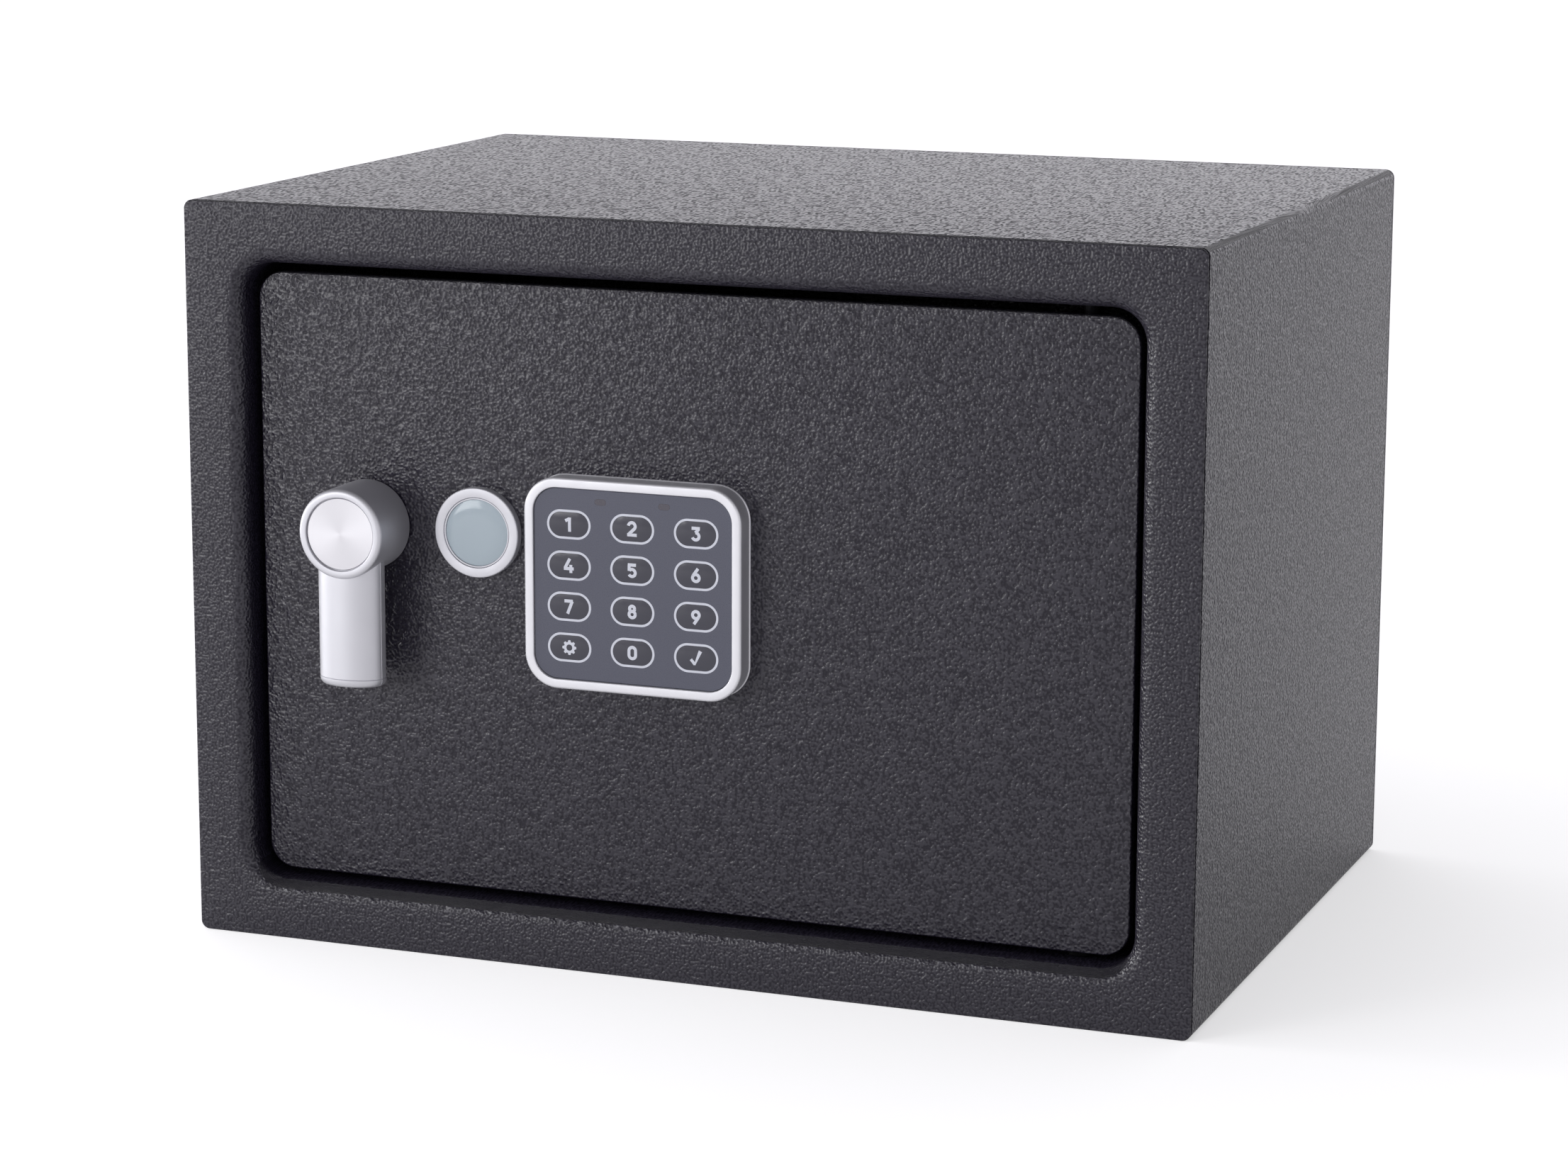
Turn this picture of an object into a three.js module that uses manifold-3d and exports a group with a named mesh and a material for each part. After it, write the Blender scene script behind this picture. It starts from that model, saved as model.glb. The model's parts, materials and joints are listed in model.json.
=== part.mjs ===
// Small electronic safe: a welded steel body with a recessed door, hinged on concealed pins
// at the right. A knob with a hanging lever throws two bolts, and behind it sit the blocking
// solenoid, the override lock, the keypad and the battery box.
// Millimetres. +Z is up, +X is to the right seen from the front, the front faces -Y.
// The origin is the centre of the face that the safe stands on. The door is closed and the
// bolts are drawn in.

import * as THREE from 'three';
import { mergeVertices } from 'three/addons/utils/BufferGeometryUtils.js';
import Module from 'manifold-3d';

const wasm = await Module();
wasm.setup();

// Clearances and cutting allowances that all the pieces share
const turningGap = 0.3;
const cutOver = 1;
const arcGap = 0.01;

// Driving dimensions: body
const bodyWidth = 350;
const bodyHeight = 250;
const bodyDepth = 250;
const sheet = 2;
const bodyEdgeInside = 1;
const fixingHoleRadius = 5;
const fixingHoleSpacing = 190;
const backHoleHeight = 165;
const floorHoleSetback = 155;
const matThickness = 2;
const matMargin = 4;

// Driving dimensions: front frame and its opening
const frameMargin = 20;
const openingRadius = 11;
const rollInside = 3.5;
const flangeLand = 3.2;

// Driving dimensions: door plate and hinge
const doorRecess = 8.5;
const doorThickness = 4;
const doorSideGap = 3;
const doorTopGap = 3.5;
const doorBottomGap = 2.5;
const doorCornerEase = 2;
const doorEdgeBreak = 0.5;
const hingeInset = 18;
const hingeSetback = 5;
const hingePinRadius = 3;
const hingePinSink = 17;
const hingePinReach = 3;
const hingeCollarLip = 2;
const hingeCollarHeight = 1.5;
const hingeBlockWidth = 22;
const hingeBlockHeight = 18;
const hingeBlockBacking = 6;
const hingeBlockInset = 2;

// Driving dimensions: knob, lever and spindle
const knobFromEdge = 39.5;
const knobRise = 19.5;
const knobRadius = 15;
const knobLength = 22.5;
const knobStandOff = 0.5;
const knobEdgeRound = 0.75;
const knobRimWidth = 2.75;
const knobRecess = 1.25;
const knobBevel = 0.75;
const discThickness = 0.5;
const discGap = 0.25;
const leverHalfWidth = 11.4;
const leverStraight = 49.3;
const leverTip = 2.75;
const leverTipRound = 2.4;
const leverTipInset = 0.17;
const leverTipTurn = 84;
const leverTipPinch = 0.04;
const leverBandDepth = 3.25;
const leverCrown = 6;
const leverCrownStart = 8;
const leverFrontSetback = 1;
const leverRootDrop = 5;
const spindleRadius = 6;
const spindleGrip = 15.5;
const spindleSquareRelief = 0.35;
const spindleNeckStep = 1;
const bushWall = 1.25;
const bushFlangeLip = 3.45;
const bushFlangeThickness = 2;

// Driving dimensions: crank, carriage and bolts
const crankThickness = 2.5;
const crankGap = 0.5;
const crankHalfWidth = 8;
const crankStart = Math.PI / 4;
const crankPinRadius = 3;
const crankPinProud = 1;
const clipThickness = 1;
const clipRadius = 6.5;
const clipMouth = 4;
const boltThrow = 18;
const boltRadius = 8;
const boltChamfer = 1;
const boltSpread = 110;
const boltFlangeGap = 1.5;
const boltTipProud = 4;
const boltShoulderGap = 4;
const boltSeatMargin = 1.5;
const carriageSheet = 2.5;
const carriageStripWidth = 16;
const carriageGap = 1;
const carriageFlangeProud = 0.5;
const slotGap = 0.7;
const slotWeb = 2.3;
const slotRoof = 4;
const slotFloor = 5;
const guideSheet = 2;
const guideFoot = 14;
const guideFromEdge = 6;
const guideStudShift = 4.5;
const guideStudDrop = 31.25;
const guideStudRadius = 3;
const guideStudLip = 2;

// Driving dimensions: solenoid and its plunger
const plungerRadius = 3;
const plungerTravel = 5;
const plungerTipDrop = 7.25;
const plungerTipChamfer = 1;
const plungerWebGap = 1;
const plungerSideGap = 1.5;
const plungerTopGap = 5;
const tabTopGap = 1;
const tabFootGap = 2;
const collarLip = 3.5;
const collarHeight = 2;
const solenoidWidth = 22;
const solenoidHeight = 30;
const solenoidSheet = 2;
const solenoidHeadWall = 3;
const coilWall = 4.7;
const springLength = 6.25;
const springWire = 0.8;
const springSeatGap = 0.1;
const springTurns = 4;

// Driving dimensions: override lock and the cap that hides it
const knobCapGap = 10.25;
const lockRadius = 9.75;
const lockLength = 15;
const lockFlangeLip = 2.25;
const lockFlangeThickness = 1.25;
const plugRadius = 6;
const keySlotHeight = 7;
const keySlotWidth = 1.5;
const keySlotDepth = 9;
const tangSize = 6;
const tangHeadLip = 1.5;
const tangHeadThickness = 1;
const tailThickness = 2;
const tailHalfWidth = 3;
const tailHubRadius = 6.5;
const tailPlungerGap = 0.75;
const tailCollarGap = 0.5;
const lockNutRadius = 14;
const lockNutThickness = 3;
const capWall = 2.7;
const capRimWidth = 3.5;
const capWeb = 0.5;
const capDish = 0.95;
const capBevel = 0.75;
const capEdgeRound = 0.5;
const resinCrown = 0.35;
const resinShoulder = 4;

// Driving dimensions: keypad
const keypadCapGap = 4.75;
const keypadRise = 6;
const keypadRadius = 11.5;
const keypadSideMargin = 8.875;
const keypadTopMargin = 11.25;
const keypadBottomMargin = 9.95;
const keypadRim = 3.25;
const keypadRimRound = 2.5;
const keypadRimFall = 0.25;
const keypadWall = 2;
const keypadFloor = 1.5;
const panelRecess = 0.75;
const panelThickness = 2;
const panelGap = 0.25;
const keyWidth = 13.75;
const keyHeight = 8;
const keySideSpace = 8.5;
const keyRowSpace = 5.6;
const keyGap = 0.25;
const keyProud = 0.25;
const keyCrownInset = 1.5;
const keyTravel = 0.5;
const keyRestGap = 0.25;
const keyLip = 0.75;
const keyLipThickness = 0.75;
const keyMatThickness = 1.5;
const windowHeight = 2;
const windowWidth = 4;
const windowRise = 4;
const windowBarLip = 0.5;
const windowBarThickness = 1;
const boardThickness = 1.5;

// Driving dimensions: mechanism cover, control board and ribbon cable
const coverBottomMargin = 7.5;
const coverTopMargin = 6.5;
const coverHingeGap = 3;
const coverBoltGap = 4.5;
const coverWall = 2;
const coverRadius = 8;
const coverRollInside = 1;
const coverBoltSlotGap = 1;
const coverStudGap = 19.25;
const coverStudInset = 22;
const coverStudRadius = 4.5;
const screwRadius = 2;
const screwReach = 11;
const screwHeadRadius = 4;
const screwHeadHeight = 2.25;
const screwHeadTop = 2.4;
const controlBoardShift = 38;
const controlBoardRise = 6;
const controlBoardWidth = 60;
const controlBoardHeight = 44;
const boardPostLength = 7;
const boardPostRadius = 3;
const boardPostInset = 4;
const ribbonRise = 20.25;
const ribbonWidth = 12;
const ribbonThickness = 1;
const ribbonSlotWidth = 5;
const ribbonMargin = 1;
const ribbonTurnGap = 6;
const boardPlugDepth = 5;
const boardPlugWidth = 6;
const boardPlugInset = 8;

// Driving dimensions: batteries, their tray and lid, and the reset button
const batteryRadius = 7.25;
const batteryLength = 50.5;
const batteryCount = 4;
const batterySpace = 1;
const batteryFromRight = 46;
const batteryRise = 54;
const cellButtonRadius = 2.75;
const cellButtonHeight = 1.5;
const cellEndRound = 1;
const cellEndGap = 0.25;
const cellLidGap = 0.7;
const trayWall = 1.5;
const trayEndRoom = 3;
const traySideRoom = 0.5;
const trayFlange = 3;
const contactThickness = 0.5;
const contactInset = 2;
const contactBumpRadius = 2.5;
const lidThickness = 1.5;
const lidInset = 0.5;
const resetFromRight = 14;
const resetFromTop = 30;
const resetRadius = 4;
const resetTravel = 1.5;
const resetPressedProud = 1;
const resetLip = 1.5;
const resetLipThickness = 2;
const resetEdgeBreak = 0.5;

// Places worked out from the driving dimensions: body and door
const frontY = -bodyDepth / 2;
const backY = bodyDepth / 2;
const bodyEdgeRadius = bodyEdgeInside + sheet;
const openingWidth = bodyWidth - 2 * frameMargin;
const openingHeight = bodyHeight - 2 * frameMargin;
const openingLowZ = frameMargin;
const openingHighZ = bodyHeight - frameMargin;
const rollRadius = rollInside + sheet;
const doorFrontY = frontY + doorRecess;
const doorBackY = doorFrontY + doorThickness;
const doorWidth = openingWidth - 2 * doorSideGap;
const doorLowZ = openingLowZ + doorBottomGap;
const doorHighZ = openingHighZ - doorTopGap;
const doorHeight = doorHighZ - doorLowZ;
const doorMidZ = (doorHighZ + doorLowZ) / 2;
const doorCornerRadius = openingRadius - doorCornerEase;
const hingeX = doorWidth / 2 - hingeInset;
const hingeY = doorBackY + hingeSetback;
const hingeHoleRadius = hingePinRadius + turningGap;
const flangeBackY = hingeY + hingeHoleRadius + flangeLand;

// Places: knob, spindle and crank
const knobX = -doorWidth / 2 + knobFromEdge;
const knobZ = doorMidZ + knobRise;
const knobBackY = doorFrontY - knobStandOff;
const knobFrontY = doorFrontY - knobLength;
const knobRimInner = knobRadius - knobRimWidth;
const discSeatY = knobFrontY + knobRecess;
const spindleFrontY = knobBackY - spindleGrip;
const spindleSquare = (spindleRadius - spindleSquareRelief) * Math.SQRT1_2;
const bushInner = spindleRadius + turningGap;
const bushOuter = bushInner + bushWall;
const bushBackY = doorBackY + bushFlangeThickness;
const crankFrontY = bushBackY + crankGap;
const crankBackY = crankFrontY + crankThickness;
const crankRadius = boltThrow * Math.SQRT1_2;
const spindleHeadY = crankBackY + clipThickness;
const spindleEndY = spindleHeadY + clipThickness;

// Places: carriage, bolts, guide and cover
const carriageFrontY = spindleEndY + carriageGap;
const carriageBackY = carriageFrontY + carriageSheet;
const guideX = -doorWidth / 2 + guideFromEdge;
const coverLeftX = guideX + guideSheet;
const coverRightX = hingeX - hingeBlockWidth / 2 - coverHingeGap;
const coverLowZ = doorLowZ + coverBottomMargin;
const coverHighZ = doorHighZ - coverTopMargin;
const boltY = flangeBackY + boltFlangeGap + boltRadius;
const boltTipX = guideX - boltTipProud;
const boltHeights = [doorMidZ + boltSpread / 2, doorMidZ - boltSpread / 2];
const carriageLeftX = coverLeftX + boltThrow + boltShoulderGap;
const crankPinX = knobX + boltThrow / 2;
const crankPinZ = knobZ - boltThrow / 2;
const guideStudX = knobX + guideStudShift;
const guideStudZ = knobZ - guideStudDrop;
const coverBackY = boltY + boltRadius + coverBoltGap;
const coverInnerY = coverBackY - coverWall;
const coverRoll = coverWall + coverRollInside;

// Places: solenoid and override lock
const slotRightX = crankPinX + crankPinRadius + slotGap;
const shoulderX = slotRightX + slotWeb;
const plungerX = shoulderX + plungerWebGap + plungerRadius;
const plungerY = (carriageFrontY + carriageBackY) / 2;
const plungerTipZ = knobZ - plungerTipDrop;
const lockFlangeRadius = lockRadius + lockFlangeLip;
const capRadius = lockFlangeRadius + turningGap + capWall;
const lockX = knobX + knobRadius + knobCapGap + capRadius;
const lockZ = knobZ;
const lockBackY = doorFrontY + lockLength;
const tailFrontY = lockBackY + turningGap;
const tailReach = lockX - plungerX - plungerRadius - tailPlungerGap;
const collarRadius = plungerRadius + collarLip;
const collarZ = lockZ + tailHalfWidth + plungerTravel + tailCollarGap;
const solenoidLowZ = collarZ + collarHeight + springLength;
const solenoidHighZ = solenoidLowZ + solenoidHeight;
const capWebY = doorFrontY - lockFlangeThickness - turningGap;
const capDishY = capWebY - capWeb;
const capFrontY = capDishY - capDish;

// Places: keypad, around its own centre with y = 0 on the door's face
const keyPitchX = keyWidth + keySideSpace;
const keyPitchZ = keyHeight + keyRowSpace;
const keyRows = [['1', '2', '3'], ['4', '5', '6'], ['7', '8', '9'], ['set', '0', 'enter']];
const keypadWidth = 2 * keyPitchX + keyWidth + 2 * keypadSideMargin;
const keypadHeight = (keyRows.length - 1) * keyPitchZ + keyHeight + keypadTopMargin + keypadBottomMargin;
const keyTopRow = keypadHeight / 2 - keypadTopMargin - keyHeight / 2;
const windowZ = keyTopRow + keyHeight / 2 + windowRise;
const keypadX = lockX + capRadius + keypadCapGap + keypadWidth / 2;
const keypadZ = doorMidZ + keypadRise;
const boardFrontY = -keypadFloor - boardThickness;
const keyMatFrontY = boardFrontY - keyMatThickness;
const panelBackY = keyMatFrontY - keyRestGap - keyTravel - keyLipThickness;
const panelFrontY = panelBackY - panelThickness;
const keypadFrontY = panelFrontY - panelRecess;
const panelInset = keypadRim + panelGap;
const baseInset = keypadWall + turningGap;
const baseWallInset = baseInset + keypadWall;
const boardInset = baseWallInset + turningGap;

// Places: ribbon cable, control board, battery box and reset button
const ribbonX = keypadX;
const ribbonZ = keypadZ + ribbonRise;
const controlBoardX = keypadX + controlBoardShift;
const controlBoardZ = ribbonZ + controlBoardRise;
const controlBoardBackY = coverInnerY - boardPostLength;
const controlBoardFrontY = controlBoardBackY - boardThickness;
const batteryX = coverRightX - batteryFromRight;
const batteryZ = coverLowZ + batteryRise;
const batteryPitch = 2 * batteryRadius + batterySpace;
const trayHalfX = batteryLength / 2 + trayEndRoom + trayWall;
const trayHalfZ = batteryCount * batteryPitch / 2 + traySideRoom + trayWall;
const trayFlangeY = coverBackY + trayWall;
const cellY = trayFlangeY - cellLidGap - batteryRadius;
const trayFloorY = cellY - batteryRadius - turningGap - trayWall;
const coverStudX = batteryX - trayHalfX - trayFlange - coverStudGap;
const coverStudHeights = [coverLowZ + coverStudInset, coverHighZ - coverStudInset];
const resetX = coverRightX - resetFromRight;
const resetZ = coverHighZ - resetFromTop;

// Finishes
const paint = new THREE.MeshStandardMaterial({ color: 0x3d3b41, roughness: 0.5, metalness: 0.3 });
const satinMetal = new THREE.MeshStandardMaterial({ color: 0xb4b4b8, roughness: 0.35, metalness: 0.9 });
const brushedMetal = new THREE.MeshStandardMaterial({ color: 0xd8d8dc, roughness: 0.3, metalness: 1 });
const zincPlate = new THREE.MeshStandardMaterial({ color: 0xa9adb3, roughness: 0.4, metalness: 0.9 });
const brass = new THREE.MeshStandardMaterial({ color: 0xb9963f, roughness: 0.35, metalness: 0.9 });
const blackPlastic = new THREE.MeshStandardMaterial({ color: 0x1c1c1f, roughness: 0.6, metalness: 0 });
const slatePlastic = new THREE.MeshStandardMaterial({ color: 0x5a5b66, roughness: 0.25, metalness: 0 });
const resin = new THREE.MeshStandardMaterial({ color: 0xa9b7bf, roughness: 0.1, metalness: 0 });
const boardGreen = new THREE.MeshStandardMaterial({ color: 0x1f5a36, roughness: 0.5, metalness: 0 });
const felt = new THREE.MeshStandardMaterial({ color: 0x2a2a2d, roughness: 0.95, metalness: 0 });
const rubber = new THREE.MeshStandardMaterial({ color: 0x35353a, roughness: 0.8, metalness: 0 });
const cellJacket = new THREE.MeshStandardMaterial({ color: 0x2f4f6f, roughness: 0.35, metalness: 0.3 });
const redPlastic = new THREE.MeshStandardMaterial({ color: 0xb3201c, roughness: 0.4, metalness: 0 });

// Volume enclosed by a triangle mesh: negative where its faces point inwards.
function enclosedVolume(positions, triangles) {
  const corner = (index) => new THREE.Vector3().fromArray(positions, 3 * index);
  let volume = 0;
  for (let start = 0; start < triangles.length; start += 3) {
    const [a, b, c] = [0, 1, 2].map((step) => corner(triangles[start + step]));
    volume += a.dot(b.cross(c)) / 6;
  }
  return volume;
}

// Geometry from points and triangles, with its faces pointing out.
function facingOut(positions, triangles) {
  const turned = enclosedVolume(positions, triangles) < 0 ? [...triangles].reverse() : triangles;
  const geometry = new THREE.BufferGeometry();
  geometry.setAttribute('position', new THREE.Float32BufferAttribute(positions, 3));
  geometry.setIndex(turned);
  return geometry;
}

// Geometry with shared vertices merged and flat triangles left out.
function joined(geometry) {
  const mergeDistance = 1e-4;
  const bare = geometry.clone();
  bare.deleteAttribute('normal');
  bare.deleteAttribute('uv');
  const merged = mergeVertices(bare, mergeDistance);
  const index = merged.index.array;
  const kept = [];
  for (let start = 0; start < index.length; start += 3) {
    const [a, b, c] = index.slice(start, start + 3);
    if (a !== b && b !== c && c !== a) {
      kept.push(a, b, c);
    }
  }
  return facingOut(Array.from(merged.attributes.position.array), kept);
}

function toManifold(geometry) {
  const closed = joined(geometry);
  return new wasm.Manifold(new wasm.Mesh({
    numProp: 3,
    vertProperties: new Float32Array(closed.attributes.position.array),
    triVerts: new Uint32Array(closed.index.array),
  }));
}

function fromManifold(shape) {
  const mesh = shape.getMesh();
  const geometry = new THREE.BufferGeometry();
  geometry.setAttribute('position', new THREE.Float32BufferAttribute(Array.from(mesh.vertProperties), 3));
  geometry.setIndex(Array.from(mesh.triVerts));
  return geometry;
}

// First geometry with the others added to it.
function fused(first, ...others) {
  return fromManifold(others.reduce((whole, next) => whole.add(toManifold(next)), toManifold(first)));
}

// First geometry with the others cut out of it.
function cut(first, ...tools) {
  return fromManifold(tools.reduce((whole, tool) => whole.subtract(toManifold(tool)), toManifold(first)));
}

// Box between its lowest and highest corners.
function block(low, high) {
  const size = high.map((value, axis) => value - low[axis]);
  const middle = high.map((value, axis) => (value + low[axis]) / 2);
  return new THREE.BoxGeometry(...size).translate(...middle);
}

// Turns a shape made around Y so that it lies along the named axis.
function alongAxis(geometry, axis) {
  if (axis === 'x') {
    geometry.rotateZ(-Math.PI / 2);
  }
  if (axis === 'z') {
    geometry.rotateX(Math.PI / 2);
  }
  return geometry;
}

// Where a round piece's centre goes: its two coordinates across the named axis.
function acrossAxis(geometry, axis, u, v) {
  const place = { x: [0, u, v], y: [u, 0, v], z: [u, v, 0] }[axis];
  return geometry.translate(...place);
}

// Round bar along an axis, from one end to the other.
function rod(axis, radius, start, end, u = 0, v = 0, sides = 24) {
  const geometry = new THREE.CylinderGeometry(radius, radius, end - start, sides);
  geometry.translate(0, (start + end) / 2, 0);
  return acrossAxis(alongAxis(geometry, axis), axis, u, v);
}

// Turned piece: a profile of [radius, place along the axis], from axis to axis or closed.
function turned(axis, profile, u = 0, v = 0, sides = 24) {
  const points = profile.map(([radius, along]) => new THREE.Vector2(radius, along));
  return acrossAxis(alongAxis(joined(new THREE.LatheGeometry(points, sides)), axis), axis, u, v);
}

// Points of a rectangle with round corners, upright at depth y.
function roundedRing({ width, height, radius, y, z = 0, x = 0, steps = 5 }) {
  const points = [];
  const corners = [[1, 1, 0], [-1, 1, 1], [-1, -1, 2], [1, -1, 3]];
  for (const [sideX, sideZ, quarter] of corners) {
    for (let step = 0; step <= steps; step += 1) {
      const angle = (quarter + step / steps) * Math.PI / 2;
      points.push([
        x + sideX * (width / 2 - radius) + radius * Math.cos(angle),
        y,
        z + sideZ * (height / 2 - radius) + radius * Math.sin(angle),
      ]);
    }
  }
  return points;
}

// Skin over a row of rings with equal point counts: capped at both ends, or joined end to start.
function loft(rings, endless = false) {
  const count = rings[0].length;
  const triangles = [];
  const bands = endless ? rings.length : rings.length - 1;
  for (let band = 0; band < bands; band += 1) {
    const near = band * count;
    const far = ((band + 1) % rings.length) * count;
    for (let point = 0; point < count; point += 1) {
      const next = (point + 1) % count;
      triangles.push(near + point, near + next, far + next, near + point, far + next, far + point);
    }
  }
  if (!endless) {
    const last = (rings.length - 1) * count;
    for (let point = 1; point < count - 1; point += 1) {
      triangles.push(0, point + 1, point);
      triangles.push(last, last + point, last + point + 1);
    }
  }
  return facingOut(rings.flat(2), triangles);
}

// Outline of a rectangle with round corners, as a shape or as a hole.
function roundedOutline(Kind, width, height, radius, x = 0, z = 0) {
  const outline = new Kind();
  const [left, right] = [x - width / 2, x + width / 2];
  const [low, high] = [z - height / 2, z + height / 2];
  outline.moveTo(left + radius, low);
  outline.absarc(right - radius, low + radius, radius, -Math.PI / 2, 0);
  outline.absarc(right - radius, high - radius, radius, 0, Math.PI / 2);
  outline.absarc(left + radius, high - radius, radius, Math.PI / 2, Math.PI);
  outline.absarc(left + radius, low + radius, radius, Math.PI, 1.5 * Math.PI);
  outline.closePath();
  return outline;
}

// Outline of a bar with half-round ends.
function stadium(Kind, width, height, x = 0, z = 0) {
  return roundedOutline(Kind, width, height, height / 2 - arcGap, x, z);
}

// Outline through straight corners.
function cornered(Kind, corners) {
  return new Kind(corners.map(([x, z]) => new THREE.Vector2(x, z)));
}

// Upright plate: an outline in X and Z, between two depths.
function plate(outline, yFront, yBack, curveSegments = 6) {
  const settings = { depth: yBack - yFront, bevelEnabled: false, curveSegments };
  return new THREE.ExtrudeGeometry(outline, settings).rotateX(Math.PI / 2).translate(0, yBack, 0);
}

// Upright column: an outline in X and Y, between two heights.
function column(outline, zLow, zHigh) {
  const settings = { depth: zHigh - zLow, bevelEnabled: false };
  return new THREE.ExtrudeGeometry(outline, settings).translate(0, 0, zLow);
}

const safe = new THREE.Group();

function addGroup(x, y, z) {
  const group = new THREE.Group();
  group.position.set(x, y, z);
  safe.add(group);
  return group;
}

function addPart(name, geometry, material, owner = safe) {
  const mesh = new THREE.Mesh(geometry, material);
  mesh.name = name;
  owner.add(mesh);
  return mesh;
}

// Body: a tube of sheet steel, its front frame and its back, welded edge to edge.
function bodyRing(y, inset = 0) {
  return roundedRing({
    width: bodyWidth - 2 * inset,
    height: bodyHeight - 2 * inset,
    radius: bodyEdgeRadius - inset,
    y,
    z: bodyHeight / 2,
  });
}

function bodyShell() {
  const start = frontY + sheet;
  const end = backY - sheet;
  const shell = loft([bodyRing(start), bodyRing(end), bodyRing(end, sheet), bodyRing(start, sheet)], true);
  const holeY = frontY + floorHoleSetback;
  const holes = [-1, 1].map((side) => (
    rod('z', fixingHoleRadius, -cutOver, sheet + cutOver, side * fixingHoleSpacing / 2, holeY)
  ));
  return cut(shell, ...holes);
}

function backPanel() {
  const panel = loft([bodyRing(backY - sheet), bodyRing(backY)]);
  const through = [backY - sheet - cutOver, backY + cutOver];
  const holes = [-1, 1].map((side) => (
    rod('y', fixingHoleRadius, ...through, side * fixingHoleSpacing / 2, backHoleHeight)
  ));
  return cut(panel, ...holes);
}

// Opening's outline, grown outwards by an offset.
function openingRing(y, offset) {
  return roundedRing({
    width: openingWidth + 2 * offset,
    height: openingHeight + 2 * offset,
    radius: openingRadius + offset,
    y,
    z: bodyHeight / 2,
  });
}

// Front frame: a flat face that rolls inwards into a deep flange around the opening.
function frontFrame() {
  const rollSteps = 4;
  const outerRoll = [];
  const innerRoll = [];
  for (let step = 0; step <= rollSteps; step += 1) {
    const angle = (step / rollSteps) * Math.PI / 2;
    const across = 1 - Math.sin(angle);
    const deep = 1 - Math.cos(angle);
    outerRoll.push(openingRing(frontY + rollRadius * deep, rollRadius * across));
    innerRoll.push(openingRing(frontY + sheet + rollInside * deep, sheet + rollInside * across));
  }
  const frame = loft([
    bodyRing(frontY),
    ...outerRoll,
    openingRing(flangeBackY, 0),
    openingRing(flangeBackY, sheet),
    ...innerRoll.reverse(),
    bodyRing(frontY + sheet),
  ], true);
  const upper = [openingHighZ - cutOver, openingHighZ + sheet + cutOver];
  const lower = [openingLowZ - sheet - cutOver, openingLowZ + cutOver];
  return cut(
    frame,
    rod('z', hingeHoleRadius, ...upper, hingeX, hingeY),
    rod('z', hingeHoleRadius, ...lower, hingeX, hingeY),
  );
}

function floorMat() {
  const halfWidth = bodyWidth / 2 - sheet - matMargin;
  const nearY = flangeBackY + matMargin;
  const farY = backY - sheet - matMargin;
  return block([-halfWidth, nearY, sheet], [halfWidth, farY, sheet + matThickness]);
}

addPart('body_shell', bodyShell(), paint);
addPart('front_frame', frontFrame(), paint);
addPart('back_panel', backPanel(), paint);
addPart('floor_mat', floorMat(), felt);

// Door plate, with the studs that are welded to its back.
function doorRing(y, inset = 0) {
  return roundedRing({
    width: doorWidth - 2 * inset,
    height: doorHeight - 2 * inset,
    radius: doorCornerRadius - inset,
    y,
    z: doorMidZ,
  });
}

function doorPlate() {
  const leaf = loft([
    doorRing(doorFrontY, doorEdgeBreak),
    doorRing(doorFrontY + doorEdgeBreak),
    doorRing(doorBackY),
  ]);
  const through = [doorFrontY - cutOver, doorBackY + cutOver];
  const bushHole = rod('y', bushOuter + turningGap, ...through, knobX, knobZ);
  const lockHole = rod('y', lockRadius + turningGap, ...through, lockX, lockZ);
  const cableHalf = ribbonWidth / 2 + ribbonMargin;
  const cableHole = block(
    [ribbonX - ribbonSlotWidth / 2, through[0], ribbonZ - cableHalf],
    [ribbonX + ribbonSlotWidth / 2, through[1], ribbonZ + cableHalf],
  );
  const weldY = doorBackY - doorThickness / 2;
  const studEndY = carriageBackY + carriageSheet;
  const guideStud = turned('y', [
    [0, weldY],
    [guideStudRadius + guideStudLip, weldY],
    [guideStudRadius + guideStudLip, carriageFrontY - turningGap],
    [guideStudRadius, carriageFrontY - turningGap],
    [guideStudRadius, studEndY],
    [0, studEndY],
  ], guideStudX, guideStudZ, 20);
  const coverStuds = coverStudHeights.map((z) => (
    rod('y', coverStudRadius, weldY, coverInnerY, coverStudX, z, 20)
  ));
  const tapDepth = coverInnerY - screwReach - cutOver;
  const screwHoles = coverStudHeights.map((z) => (
    rod('y', screwRadius + turningGap, tapDepth, coverBackY, coverStudX, z, 16)
  ));
  return cut(fused(leaf, guideStud, ...coverStuds), bushHole, lockHole, cableHole, ...screwHoles);
}

// Hinge: a block welded to the door's back at each end holds a pin that turns in the flange.
function hingeBlock(lowZ) {
  const highZ = lowZ + hingeBlockHeight;
  const body = block(
    [hingeX - hingeBlockWidth / 2, doorBackY, lowZ],
    [hingeX + hingeBlockWidth / 2, hingeY + hingeBlockBacking, highZ],
  );
  return cut(body, rod('z', hingeHoleRadius, lowZ - cutOver, highZ + cutOver, hingeX, hingeY));
}

// Pin with a collar that bears on the block: up is +1 for the upper hinge, -1 for the lower.
function hingePin(seatZ, flangeZ, up, collarHeight) {
  const start = seatZ - up * hingePinSink;
  const end = flangeZ + up * (sheet + hingePinReach);
  const collarEnd = seatZ + up * collarHeight;
  return turned('z', [
    [0, start],
    [hingePinRadius, start],
    [hingePinRadius, seatZ],
    [hingePinRadius + hingeCollarLip, seatZ],
    [hingePinRadius + hingeCollarLip, collarEnd],
    [hingePinRadius, collarEnd],
    [hingePinRadius, end],
    [0, end],
  ], hingeX, hingeY, 20);
}

const upperSeatZ = doorHighZ - hingeBlockInset;
const lowerSeatZ = doorLowZ + hingeBlockInset;
const lowerCollarHeight = lowerSeatZ - openingLowZ;

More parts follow.
